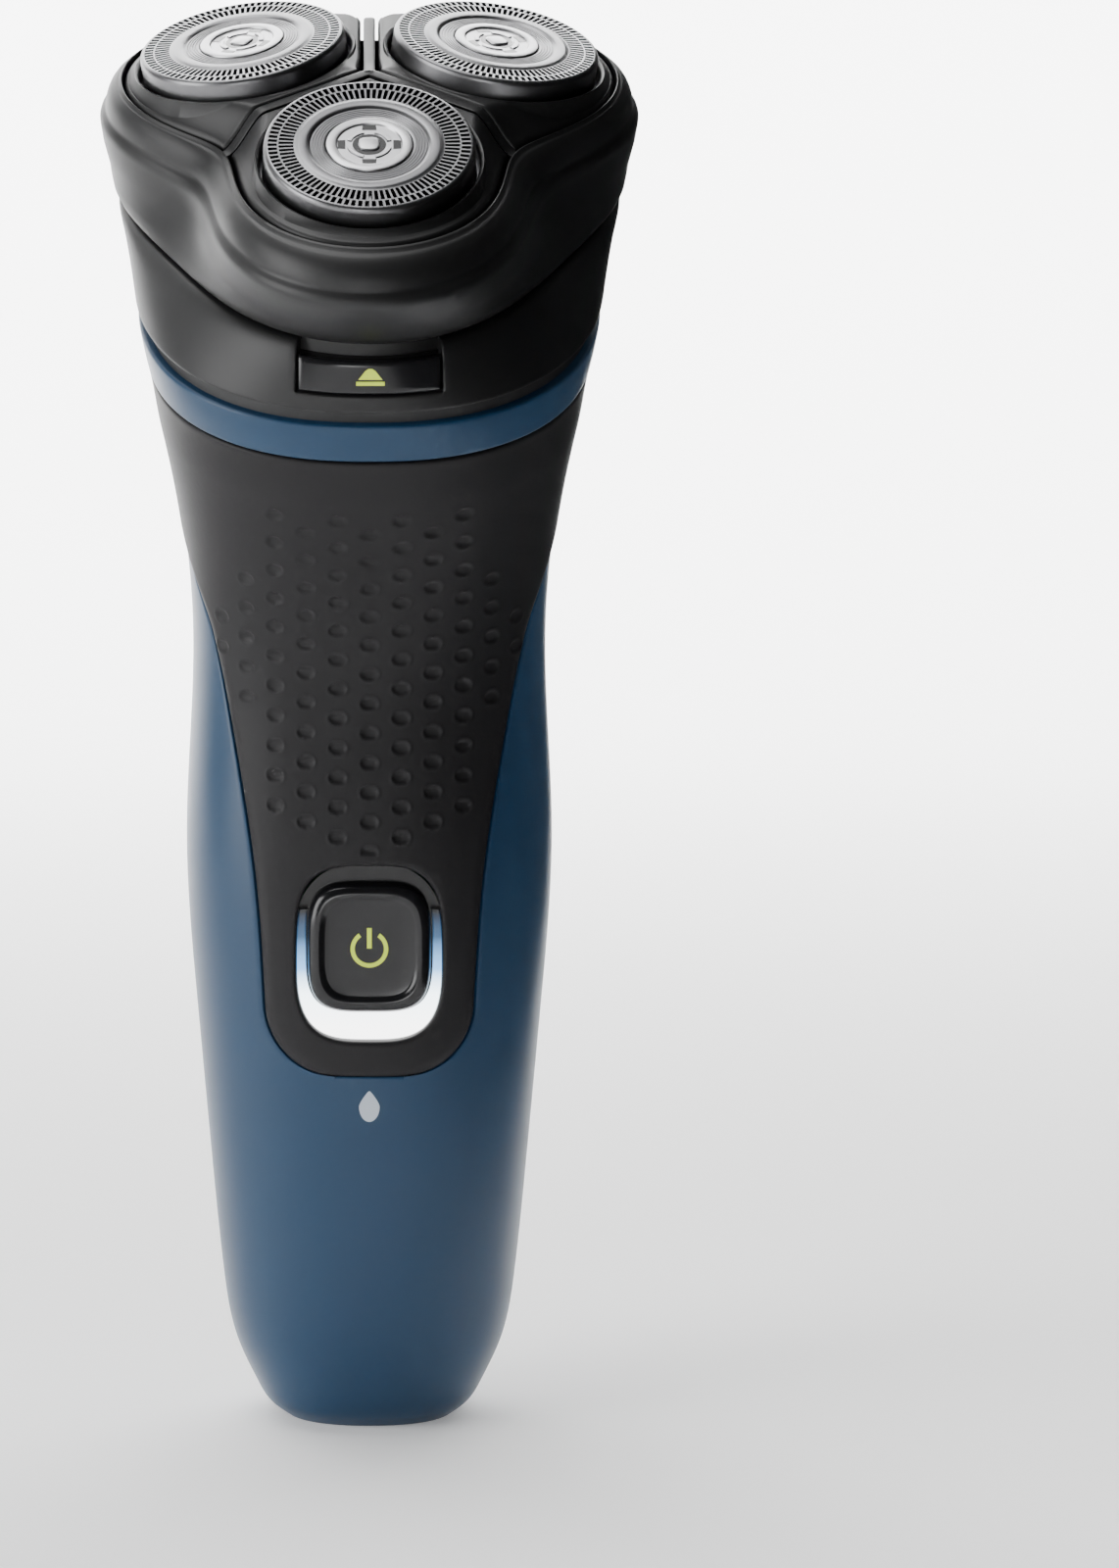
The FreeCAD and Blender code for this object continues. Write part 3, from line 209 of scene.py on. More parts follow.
class Shape:
    """Vertices and faces gathered for one piece."""

    def __init__(self):
        self.verts = []
        self.faces = []

    def add(self, points):
        """Add loose vertices, and say where they start."""
        start = len(self.verts)
        self.verts.extend(np.asarray(points, float).reshape(-1, 3).tolist())
        return start

    def grid(self, points, wrap=False):
        """Rows of points joined by four-sided faces."""
        rows, cols = points.shape[:2]
        start = self.add(points)
        for i in range(rows - 1):
            for j in range(cols if wrap else cols - 1):
                k = (j + 1) % cols
                self.faces.append([start + i * cols + j, start + i * cols + k,
                                   start + (i + 1) * cols + k, start + (i + 1) * cols + j])
        return self

    def lathe(self, profile, matrix, segments=96):
        """A profile of (radius, height) turned about the matrix's z axis."""
        turn = np.linspace(0, 2 * math.pi, segments, endpoint=False)
        ring = np.array([[(r * math.cos(a), r * math.sin(a), z) for a in turn] for r, z in profile])
        return self.grid(placed(ring, matrix), wrap=True)

    def plate(self, outline, low, high, matrix):
        """A flat outline of (x, y) given thickness, with both faces closed."""
        n = len(outline)
        start = self.add(placed([(x, y, low) for x, y in outline] + [(x, y, high) for x, y in outline], matrix))
        for j in range(n):
            k = (j + 1) % n
            self.faces.append([start + j, start + k, start + n + k, start + n + j])
        self.faces.append([start + j for j in reversed(range(n))])
        self.faces.append([start + n + j for j in range(n)])
        return self

    def make(self, name, body, material, sharp=SHARP, slot=None):
        """The Blender object, on its body and with its material."""
        mesh = bpy.data.meshes.new(name)
        mesh.from_pydata([tuple(c * MM for c in v) for v in self.verts], [], self.faces)
        finish_mesh(mesh, sharp)
        thing = bpy.data.objects.new(name, mesh)
        bpy.context.scene.collection.objects.link(thing)
        thing.data.materials.append(material)
        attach(thing, body)
        return thing


def finish_mesh(mesh, sharp):
    """Join coincident points, point the faces outward, and shade smooth except across sharp edges."""
    bm = bmesh.new()
    bm.from_mesh(mesh)
    bmesh.ops.remove_doubles(bm, verts=bm.verts, dist=2e-6)
    bmesh.ops.dissolve_degenerate(bm, dist=1e-6, edges=bm.edges)
    bmesh.ops.recalc_face_normals(bm, faces=bm.faces)
    limit = math.radians(sharp)
    for face in bm.faces:
        face.smooth = True
    for edge in bm.edges:
        edge.smooth = not (len(edge.link_faces) == 2 and edge.calc_face_angle(0) > limit)
    bm.to_mesh(mesh)
    bm.free()


def carve(thing, *tools):
    """Cut other shapes out of a piece, and remove them."""
    for tool in tools:
        change = thing.modifiers.new("cut", "BOOLEAN")
        change.operation = "DIFFERENCE"
        change.solver = "EXACT"
        change.object = tool
    bpy.context.view_layer.update()
    shaped = bpy.data.meshes.new_from_object(thing.evaluated_get(bpy.context.evaluated_depsgraph_get()))
    thing.modifiers.clear()
    finish_mesh(shaped, SHARP)
    thing.data = shaped
    for tool in tools:
        bpy.data.objects.remove(tool)
    return thing


def squircle(half, tall, power, turn):
    """Points of a rounded square about its centre, at the given angles."""
    c, s = np.cos(turn), np.sin(turn)
    r = ((np.abs(c) / half) ** power + (np.abs(s) / tall) ** power) ** (-1 / power)
    return r * c, r * s


# ---------------------------------------------------------------- materials

def material(name, colour, roughness, metallic=0.0, grain=0.0, grain_size=900.0, mottle=0.03, specular=0.5,
             emission=None, strength=0.0):
    """A procedural finish with slight unevenness in its sheen and a fine grain."""
    made = bpy.data.materials.new(name)
    made.use_nodes = True
    nodes, links = made.node_tree.nodes, made.node_tree.links
    shader = nodes["Principled BSDF"]
    shader.inputs["Metallic"].default_value = metallic
    shader.inputs["Specular IOR Level"].default_value = specular
    place = nodes.new("ShaderNodeTexCoord")
    cloud = nodes.new("ShaderNodeTexNoise")
    cloud.inputs["Scale"].default_value = 60.0
    cloud.inputs["Detail"].default_value = 3.0
    links.new(place.outputs["Object"], cloud.inputs["Vector"])
    spread = nodes.new("ShaderNodeMapRange")
    spread.inputs["To Min"].default_value = roughness - mottle
    spread.inputs["To Max"].default_value = roughness + mottle
    links.new(cloud.outputs["Fac"], spread.inputs["Value"])
    links.new(spread.outputs["Result"], shader.inputs["Roughness"])
    shader.inputs["Base Color"].default_value = (*colour, 1.0)
    if grain:
        fine = nodes.new("ShaderNodeTexNoise")
        fine.inputs["Scale"].default_value = grain_size
        fine.inputs["Detail"].default_value = 2.0
        links.new(place.outputs["Object"], fine.inputs["Vector"])
        bump = nodes.new("ShaderNodeBump")
        bump.inputs["Strength"].default_value = grain
        bump.inputs["Distance"].default_value = 0.0001
        links.new(fine.outputs["Fac"], bump.inputs["Height"])
        links.new(bump.outputs["Normal"], shader.inputs["Normal"])
    if emission:
        shader.inputs["Emission Color"].default_value = (*emission, 1.0)
        shader.inputs["Emission Strength"].default_value = strength
    return made


def glow_material(name, low, high):
    """A lit plastic whose light fades from white to blue to nothing with height."""
    made = material(name, (0.02, 0.022, 0.026), 0.3)
    nodes, links = made.node_tree.nodes, made.node_tree.links
    shader = nodes["Principled BSDF"]
    place = nodes.new("ShaderNodeTexCoord")
    split = nodes.new("ShaderNodeSeparateXYZ")
    links.new(place.outputs["Object"], split.inputs["Vector"])
    span = nodes.new("ShaderNodeMapRange")
    span.inputs["From Min"].default_value = low * MM
    span.inputs["From Max"].default_value = high * MM
    links.new(split.outputs["Z"], span.inputs["Value"])
    ramp = nodes.new("ShaderNodeValToRGB")
    stops = ramp.color_ramp.elements
    stops[0].position, stops[0].color = 0.0, (1.0, 1.0, 1.0, 1.0)
    stops[1].position, stops[1].color = 1.0, (0.0, 0.0, 0.0, 1.0)
    for position, colour in ((0.28, (0.80, 0.93, 1.0, 1.0)), (0.50, (0.10, 0.24, 0.45, 1.0)),
                             (0.78, (0.010, 0.028, 0.060, 1.0))):
        stop = stops.new(position)
        stop.color = colour
    links.new(span.outputs["Result"], ramp.inputs["Fac"])
    links.new(ramp.outputs["Color"], shader.inputs["Emission Color"])
    shader.inputs["Emission Strength"].default_value = 6.0
    return made


BLUE = material("blue satin", (0.007, 0.033, 0.076), 0.38, grain=0.05, specular=0.36)
CHARCOAL = material("charcoal grip", (0.010, 0.0095, 0.0105), 0.50, grain=0.10, grain_size=1500.0, specular=0.22)
BLACK = material("black satin", (0.006, 0.006, 0.0065), 0.46, grain=0.06, specular=0.42)
GLOSS = material("black gloss", (0.006, 0.006, 0.007), 0.20, specular=0.42)
STEEL = material("guard steel", (0.165, 0.165, 0.170), 0.34, metallic=1.0, mottle=0.07)
BRIGHT = material("bright steel", (0.46, 0.46, 0.47), 0.34, metallic=1.0, mottle=0.05)
# The lime marks are print; their weak emission is a painted glow, not a lamp.
LIME_PAINTED_GLOW = material("lime print with painted glow", (0.52, 0.66, 0.03), 0.5, emission=(0.52, 0.66, 0.03), strength=0.25)
PALE = material("pale mark", (0.42, 0.47, 0.53), 0.5)
GLOW = glow_material("light guide glow", 47.5, 60.5)

CAD_FINISH = {
    "blue_shell": BLUE,
    "grip_panel": CHARCOAL,
    "black_shell": BLACK,
    "black_gloss": GLOSS,
    "rubber": material("seal rubber", (0.014, 0.014, 0.015), 0.62, grain=0.10),
    "light_guide": GLOW,
    "board": material("board green", (0.010, 0.085, 0.035), 0.45),
    "chip": material("chip black", (0.015, 0.015, 0.016), 0.5),
    "cell_wrap": material("cell wrap", (0.030, 0.180, 0.090), 0.38),
    "contact_metal": material("contact metal", (0.72, 0.60, 0.34), 0.28, metallic=1.0),
    "guard_steel": STEEL,
    "cutter_steel": material("cutter steel", (0.22, 0.22, 0.23), 0.34, metallic=1.0),
    "plain_steel": material("plain steel", (0.55, 0.55, 0.56), 0.33, metallic=1.0),
    "gear_plastic": material("gear plastic", (0.60, 0.60, 0.56), 0.42),
}

node_slot = {row["node"]: row["material_slot"] for row in frame["record"]["subparts"]}
for name, thing in frame["nodes"].items():
    thing.data.materials.clear()
    thing.data.materials.append(CAD_FINISH[node_slot[name]])


# ---------------------------------------------------------------- the front panel's edge

def tongue_half(z):
    """Half width of the grip panel's tongue at height z."""
    side = spline([50.0, 65.0, 79.0, 92.0, 103.7], [11.9, 13.0, 15.2, 17.9, 21.6], np.clip(z, 50.0, 110.0))
    corner = 3.9 + np.sqrt(np.maximum(64.0 - (50.0 - np.clip(z, TONGUE, 50.0)) ** 2, 0.0))
    return np.where(z < 50.0, corner, side)


def edge_angle(t):
    """Angle of the panel's edge from the front at station value t."""
    t = np.atleast_1d(np.asarray(t, float))

    def crossing(at):
        low, high = np.zeros_like(at), np.full_like(at, math.pi / 2)
        for _ in range(40):
            middle = (low + high) / 2
            point = skin(at, middle)
            inside = point[..., 0] < tongue_half(point[..., 2])
            low, high = np.where(inside, middle, low), np.where(inside, high, middle)
        return low

    ends = crossing(np.array([88.0, 93.0]))
    upper = spline([88.0, 93.0, 98.5, 104.0, 112.0, YOKE],
                   [ends[0], ends[1], math.radians(73.0), math.radians(88.0), math.radians(101.0),
                    math.radians(109.0)], np.maximum(t, 88.0))
    return np.where(t < 93.0, crossing(np.clip(t, TONGUE, 93.0)), upper)


# ---------------------------------------------------------------- handle housing

def notched_columns(edge, insets, count):
    """Angles round the handle, how far each is inset, and which lie in the zone between the two edges.

    The columns go round the back from one edge to the other, and then across the front zone. The insets
    soften the surface beside each edge."""
    inside, steps = 0.001, (0.0, 0.003, 0.010)
    end = 2 * math.pi - edge
    phi = np.concatenate([[edge + step for step in steps], np.linspace(edge, end, count)[1:-1],
                          [end - step for step in reversed(steps)],
                          2 * math.pi + np.linspace(-edge + inside, edge - inside, 50)])
    inset = np.concatenate([insets, np.zeros(count - 2), insets[::-1], np.zeros(50)])
    zone = np.concatenate([np.zeros(count + 4, bool), np.ones(50, bool)])
    return phi, inset, zone


def housing_columns(t):
    """Columns of the housing at one row, with the panel's zone between its two edges."""
    edge = float(edge_angle(max(t, TONGUE))[0])
    return notched_columns(edge, (0.22, 0.06, 0.0), 130)


def punch(name, size, height, reach):
    """A rounded-square prism along y, to be cut out of the housing."""
    n = 64
    x, z = squircle(*size, np.linspace(0, 2 * math.pi, n, endpoint=False))
    shape = Shape().grid(np.array([np.stack([x, np.full(n, y), height + z], -1) for y in reach]), wrap=True)
    shape.faces += [list(range(n)), list(range(2 * n - 1, n - 1, -1))]
    return shape.make(name, "handle", BLUE)


def housing():
    """Blue sleeve: outer skin, a sunk zone for the panel, the rim's lip, and an inner wall."""
    # station value, inset, and whether the panel's zone lies deeper
    rows = [(0.0, 9.3 * (1 - scale), False) for scale in (0.02, 0.5, 0.86, 0.96)]
    rows += [(h, 0.0, False) for h in np.linspace(0.0, 3.5, 12)]
    rows += [(h, 0.0, False) for h in np.linspace(4.0, 41.6, 70)]
    rows += [(41.80, 0.02, False), (41.95, 0.10, False), (TONGUE, 0.22, False), (TONGUE, 0.0, True)]
    rows += [(h, 0.0, True) for h in TONGUE + 8.0 * (1 - np.cos(np.linspace(0.08, math.pi / 2, 26)))]
    rows += [(h, 0.0, True) for h in np.linspace(50.6, 121.7, 120)]
    rows += [(122.0, 0.05, True), (122.12, 0.14, True), (YOKE, 0.32, True), (YOKE, 2.2, True)]
    rows += [(h, 2.4, False) for h in np.linspace(121.0, 6.0, 40)]
    points = []
    for t, inset, deep in rows:
        phi, soft, zone = housing_columns(t)
        lip = 41.7 < t <= TONGUE and not deep
        depth = np.where(zone, inset, 0.0) if lip else np.full(len(phi), inset)
        if deep and inset < 1.5:
            depth = np.where(zone, 1.25, depth + (soft if t > TONGUE else 0.0))
        points.append(skin(t, phi, depth))
    points = np.array(points)
    shape = Shape()
    shape.grid(points, wrap=True)
    for row in (0, len(points) - 1):
        ring = points[row]
        start = shape.add(ring)
        centre = shape.add([ring.mean(0)])
        n = len(ring)
        shape.faces += [[start + j, start + (j + 1) % n, centre] for j in range(n)]
    made = shape.make("housing_skin", "handle", BLUE, slot="blue_shell")
    window = (RECESS[0] + 0.4, RECESS[1] + 0.4, RECESS[2])
    carve(made, punch("inlet_hole", (5.95, 3.75, 4.0), 13.0, (8.0, 30.0)),
          punch("button_window", window, RECESS_HEIGHT, (-30.0, -8.0)))
    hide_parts("main_housing")


# ---------------------------------------------------------------- grip panel

# how far the panel stands out from the sleeve
PANEL_RISE = 0.30
# heights, and how far from the middle the dimples reach there
DIMPLE_LIMITS = ([66.0, 68.2, 69.8, 73.0, 77.0, 81.0, 85.0, 89.0, 94.0, 99.0, 106.0],
                 [0.0, 4.2, 10.9, 11.0, 11.4, 14.2, 15.5, 18.2, 17.6, 14.4, 11.2])


def dimples(across, along, height):
    """How far each point of the panel sinks into the pattern of shallow scoops."""
    depth = np.zeros(across.shape)
    pitch_across, pitch_along = 3.5, 3.3
    for k in range(-5, 6):
        shift = pitch_along / 2 if k % 2 else 0.0
        near_column = np.abs(across - k * pitch_across) < 1.6
        for step in range(12):
            centre = step * pitch_along + shift
            found = near_column & (np.abs(along - centre) < 1.2)
            if not found.any():
                continue
            z = height[found].mean()
            if abs(k * pitch_across) > np.interp(z, *DIMPLE_LIMITS) or z < 67.0 or z > 105.5:
                continue
            reach = np.hypot((across[found] - k * pitch_across) / 0.98, (along[found] - centre) / 0.70)
            sink = 0.20 * np.sqrt(np.clip(1 - reach ** 2, 0, 1)) - 0.05 * np.exp(-((reach - 1.12) / 0.16) ** 2)
            depth[found] += sink
    return depth


def panel():
    """Black grip panel with rolled edges, dimples, and a recess with a softened lip for the button."""
    rise = TONGUE + 8.0 * (1 - np.cos(np.linspace(0.0, math.pi / 2, 34)))
    t = np.concatenate([rise, np.linspace(50.25, 121.2, 285), [121.6, 121.85, 122.0, 122.08]])
    s = np.linspace(-1, 1, 221)
    s = 0.8 * s + 0.2 * s ** 3
    edge = edge_angle(t)
    half = np.interp(t, [TONGUE, 90.0, 122.0], [17.0, 20.0, 25.0])
    phi = (edge - 0.14 / half)[:, None] * s[None, :]
    base = skin(t[:, None], phi)
    normal = outward(base)
    middle = base.shape[1] // 2
    steps = np.linalg.norm(np.diff(base, axis=1), axis=2)
    across = np.concatenate([np.zeros((len(t), 1)), np.cumsum(steps, axis=1)], axis=1)
    across -= across[:, middle:middle + 1]
    along = np.concatenate([[0.0], np.cumsum(np.linalg.norm(np.diff(base[:, middle], axis=0), axis=1))])
    along = np.broadcast_to(along[:, None], across.shape)
    rim = np.concatenate([np.stack([across[:, -1], along[:, -1]], -1),
                          np.stack([np.linspace(0, across[0, -1], 20), np.zeros(20)], -1)])
    low = t < 60.0
    margin = np.abs(np.abs(across) - across[:, -1:])
    margin[low] = np.hypot(np.abs(across[low])[..., None] - rim[:, 0], along[low][..., None] - rim[:, 1]).min(-1)
    top_gap = along[-1, middle] - along
    roll = np.clip(1 - margin / 1.7, 0, 1)
    raised = PANEL_RISE - 0.62 * (1 - np.sqrt(1 - roll ** 2))
    raised = raised * smooth((top_gap - 0.2) / 5.0)
    roll_top = np.clip(1 - top_gap / 0.35, 0, 1)
    raised -= PANEL_RISE * (1 - np.sqrt(1 - roll_top ** 2))
    scoops = dimples(across, along - along[np.searchsorted(t, 67.0), middle], base[..., 2])
    points = base + normal * (raised - scoops)[..., None]
    shape = Shape()
    row_low, row_high = (int(row) for row in np.searchsorted(t, [RECESS_HEIGHT - 11.2, RECESS_HEIGHT + 11.2]))
    x_here = base[(row_low + row_high) // 2, :, 0]
    col_low, col_high = int(np.searchsorted(x_here, -9.3)), int(np.searchsorted(x_here, 9.3))
    count, width = points.shape[:2]
    start = shape.add(points)
    for i in range(count - 1):
        for j in range(width - 1):
            if row_low <= i < row_high and col_low <= j < col_high:
                continue
            shape.faces.append([start + i * width + j, start + i * width + j + 1,
                                start + (i + 1) * width + j + 1, start + (i + 1) * width + j])
    border = [(row_low, j) for j in range(col_low, col_high)]
    border += [(i, col_high) for i in range(row_low, row_high)]
    border += [(row_high, j) for j in range(col_high, col_low, -1)]
    border += [(i, col_low) for i in range(row_high, row_low, -1)]
    loop = np.array([points[i, j] for i, j in border])
    turn = np.arctan2(loop[:, 2] - RECESS_HEIGHT, loop[:, 0])
    half, tall, power = RECESS

    def surface_y(x, z):
        """Depth of the sleeve's skin in front of points (x, z)."""
        flat = base[:, middle:]
        out = np.zeros(len(x))
        for k, (px, pz) in enumerate(zip(np.abs(x), z)):
            i = int(np.clip(np.searchsorted(t, pz), 1, len(t) - 1))
            f = (pz - t[i - 1]) / (t[i] - t[i - 1])
            out[k] = (1 - f) * np.interp(px, flat[i - 1, :, 0], flat[i - 1, :, 1]) + f * np.interp(
                px, flat[i, :, 0], flat[i, :, 1])
        return out

    rings = [loop]
    ex, ez = squircle(half + 0.55, tall + 0.55, power, turn)
    lip = np.stack([ex, surface_y(ex, ez + RECESS_HEIGHT) - PANEL_RISE, ez + RECESS_HEIGHT], -1)
    for f in (0.25, 0.5, 0.75):
        between = loop * (1 - f) + lip * f
        between[:, 1] = surface_y(between[:, 0], between[:, 2]) - PANEL_RISE
        rings.append(between)
    for out, drop in ((0.55, 0.0), (0.32, 0.05), (0.14, 0.17), (0.03, 0.36), (0.0, 0.6)):
        ex, ez = squircle(half + out, tall + out, power, turn)
        rings.append(np.stack([ex, surface_y(ex, ez + RECESS_HEIGHT) - PANEL_RISE + drop, ez + RECESS_HEIGHT],
                              -1))
    ex, ez = squircle(half, tall, power, turn)
    rings.append(np.stack([ex, np.full(len(ex), -14.7), ez + RECESS_HEIGHT], -1))
    shape.grid(np.concatenate([np.array(rings), np.array(rings)[:, :1]], axis=1))
    under = base - normal * 1.15
    for edge_points, under_points in ((points[:, 0], under[:, 0]), (points[:, -1], under[:, -1]),
                                      (points[0], under[0]), (points[-1], under[-1])):
        shape.grid(np.array([edge_points, under_points]))
    made = shape.make("grip_panel_skin", "handle", CHARCOAL, sharp=50.0, slot="grip_panel")
    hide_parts("front_panel")


# ---------------------------------------------------------------- power button and light

def ring_stack(half, tall, power, height, rows, segments=128):
    """Rounded-square rings given by (inset, y), in the plane of the front."""
    turn = np.linspace(0, 2 * math.pi, segments, endpoint=False)
    rings = []
    for inset, y in rows:
        scale = min(half, tall) - inset
        ex, ez = squircle(max(half - inset, 0.01), max(tall - inset, 0.01), power if scale > 2 else 2.4, turn)
        rings.append(np.stack([ex, np.full(segments, y), height + ez], -1))
    return np.array(rings)


def power_button():
    """The button's cap, with a raised rim round a flat face, its stem and its mark."""
    front = -17.4
    rows = [(6.84, -15.8), (0.55, -15.8), (0.05, -15.78), (0.0, -15.7)]
    rows += [(inset, front + drop) for inset, drop in (
        (0.05, 0.85), (0.18, 0.55), (0.42, 0.27), (0.75, 0.08), (1.05, 0.0), (1.30, 0.02), (1.50, 0.10),
        (1.66, 0.24), (1.78, 0.33), (1.95, 0.36), (3.0, 0.38), (5.0, 0.40), (6.84, 0.41))]
    shape = Shape()
    shape.grid(ring_stack(*BUTTON, BUTTON_HEIGHT, rows), wrap=True)
    shape.lathe([(0.0, -14.0), (1.45, -14.0), (1.5, -13.2)], Matrix.Translation((0, 0, BUTTON_HEIGHT))
                @ Matrix.Rotation(math.radians(90), 4, "X") @ Matrix.Scale(-1, 4, (0, 0, 1)), 32)
    made = shape.make("power_button_cap", "power_button", GLOSS, slot="black_gloss")
    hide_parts("power_button")
    face = Matrix(((1, 0, 0, 0), (0, 0, -1, front + 0.41), (0, 1, 0, BUTTON_HEIGHT), (0, 0, 0, 1)))
    mark = Shape()
    arc = np.radians(np.linspace(90 + 34, 90 + 360 - 34, 40))
    inner, outer = ([(r * math.cos(a), r * math.sin(a)) for a in arc] for r in (1.62, 2.1))
    for k in range(len(arc) - 1):
        mark.plate([inner[k], inner[k + 1], outer[k + 1], outer[k]][::-1], 0.0, 0.06, face)
    mark.plate([(-0.26, 0.05), (0.26, 0.05), (0.26, 2.35), (-0.26, 2.35)], 0.0, 0.06, face)
    mark.make("power_mark", "power_button", LIME_PAINTED_GLOW, slot="light_guide")


def light_guide():
    """The lit channel below and beside the button."""
    turn = np.radians(np.linspace(-212, 32, 140))
    rings = []
    for (half, tall, power), centre, grow, y in (
            (BUTTON, BUTTON_HEIGHT, 0.22, -15.0), (BUTTON, BUTTON_HEIGHT, 0.22, -16.15),
            (BUTTON, BUTTON_HEIGHT, 0.34, -16.28), (RECESS, RECESS_HEIGHT, -0.16, -16.28),
            (RECESS, RECESS_HEIGHT, -0.05, -16.15), (RECESS, RECESS_HEIGHT, -0.05, -15.0)):
        ex, ez = squircle(half + grow, tall + grow, power, turn)
        rings.append(np.stack([ex, np.full(len(turn), y), centre + ez], -1))
    rings = np.array(rings + rings[:1])
    shape = Shape().grid(rings)
    for column in (0, -1):
        start = shape.add(rings[:-1, column])
        shape.faces.append([start + k for k in range(6)])
    made = shape.make("light_channel", "handle", GLOW, slot="light_guide")
    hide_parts("light_guide")


# ---------------------------------------------------------------- neck and collar

def ring_rows(low, high, radius, count, inner):
    """Rows of (level, inset) for a band with rounded edges, from inside below to inside above."""
    curve = [(low + radius * (1 - math.cos(a)), radius * (1 - math.sin(a))) for a in np.linspace(0, math.pi / 2, 5)]
    rows = [(low, inner)] + curve
    rows += [(w, 0.0) for w in np.linspace(low + radius, high - radius, count)[1:-1]]
    rows += [(low + high - w, inset) for w, inset in reversed(curve)]
    return rows + [(high, inner), (low, inner)]


def neck():
    """Blue band round the neck, and the dark gasket above it."""
    phi = np.linspace(0, 2 * math.pi, 220, endpoint=False)
    for name, node, finish, slot, rows in (
            ("neck_band", "neck_ring", BLUE, "blue_shell", ring_rows(-29.78, -25.42, 0.3, 16, 2.2)),
            ("neck_gasket", "neck_seal", CAD_FINISH["rubber"], "rubber", [(w, 0.95) for w in (-25.6, -24.7, -23.8)]
             + [(-23.8, 2.4), (-25.6, 2.4), (-25.6, 0.95)])):
        points = np.array([skin(level(w), phi, inset) for w, inset in rows])
        made = Shape().grid(points, wrap=True).make(name, "handle", finish, slot=slot)
        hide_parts(node)


def collar():
    """Hair chamber: collar with the button's notch, floor with three openings, and the rear hinge."""
    probe = np.linspace(0.05, 0.8, 400)
    edge = float(np.interp(8.02, skin(level(-20.0), probe)[:, 0], probe))
    phi, soft, zone = notched_columns(edge, (0.16, 0.05, 0.0), 180)
    # level, inset, and whether the row passes the button's notch
    rows = [(-24.0, 2.0, False), (-24.0, 0.3, False), (-23.94, 0.12, False), (-23.8, 0.02, False)]
    rows += [(w, 0.0, False) for w in np.linspace(-23.6, -22.3, 5)]
    rows += [(-22.18, 0.04, False), (-22.1, 0.2, False)]
    rows += [(w, 0.0, True) for w in np.linspace(-22.09, -18.9, 12)]
    rows += [(w, inset, True) for w, inset in (
        (-18.4, 0.03), (-18.0, 0.10), (-17.65, 0.24), (-17.4, 0.42), (-17.23, 0.68), (-17.15, 1.0), (-17.15, 1.9))]
    rows += [(-17.4, 2.1, False), (-18.6, 2.1, False)]
    points = []
    for w, inset, notched in rows:
        depth = np.full(len(phi), inset) + (soft if notched and inset < 1 else 0.0)
        if -22.2 < w < -22.0 and not notched:
            depth = np.where(zone, inset, 0.0)
        if notched:
            depth = np.where(zone, max(1.9, inset), depth)
        points.append(skin(level(w), phi, depth))
    shape = Shape().grid(np.array(points), wrap=True)
    made = shape.make("collar_skin", "handle", BLACK, slot="black_shell")
    ring = skin(level(-19.1), np.linspace(0, 2 * math.pi, 160, endpoint=False), 1.9)
    c, s = math.cos(TILT), math.sin(TILT)
    local = np.stack([ring[:, 0], (ring[:, 1] - HEAD_Y) * c + (ring[:, 2] - HEAD_Z) * s], -1)
    place = head_matrix()
    floor = Shape().plate([tuple(p) for p in local], -19.6, -18.6, place)
    floor = floor.make("collar_floor", "handle", BLACK, slot="black_shell")
    tools = []
    spindle_radius, hole_radius = 15.75, 3.8
    circle = [(hole_radius * math.cos(a), hole_radius * math.sin(a))
              for a in np.linspace(0, 2 * math.pi, 48, endpoint=False)]
    for side, angle in HEADS.items():
        turn = math.radians(angle)
        at = place @ Matrix.Translation((spindle_radius * math.cos(turn), spindle_radius * math.sin(turn), -25.0))
        tools.append(Shape().plate(circle, 0.0, 10.0, at).make(f"floor_hole_{side}", "handle", BLACK))
    carve(floor, *tools)
    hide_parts("hair_chamber")
    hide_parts("hair_chamber")
    knuckles("collar_knuckles", "handle", ((7.35, 12.5), (-12.5, -7.35)), -19.0)


def knuckles(name, body, spans, foot):
    """Rounded hinge barrels at the rear, each with a web into its shell."""
    place = head_matrix()
    shape = Shape()
    for low, high in spans:
        end = [(0.0, 0.0), (1.5, 0.0), (1.78, 0.1), (1.9, 0.4)]
        profile = end + [(r, high - low - z) for r, z in reversed(end)]
        at = place @ Matrix.Translation((low, 25.3, -17.0)) @ Matrix.Rotation(math.radians(90), 4, "Y")
        shape.lathe(profile, at, 40)
        web = [(22.4, foot), (25.0, foot), (26.6, -17.4), (26.2, -16.2), (25.0, -15.6), (22.4, -16.4)]
        if foot > -17:
            web = [(22.0, -16.8), (25.0, -18.4), (26.8, -17.2), (26.4, -15.8), (24.8, foot), (22.0, foot)]
        edge = place @ Matrix(((0, 0, 1, 0), (1, 0, 0, 0), (0, 1, 0, 0), (0, 0, 0, 1)))
        shape.plate(web, low + 0.15, high - 0.15, edge)
    shape.make(name, body, BLACK, slot="black_shell")


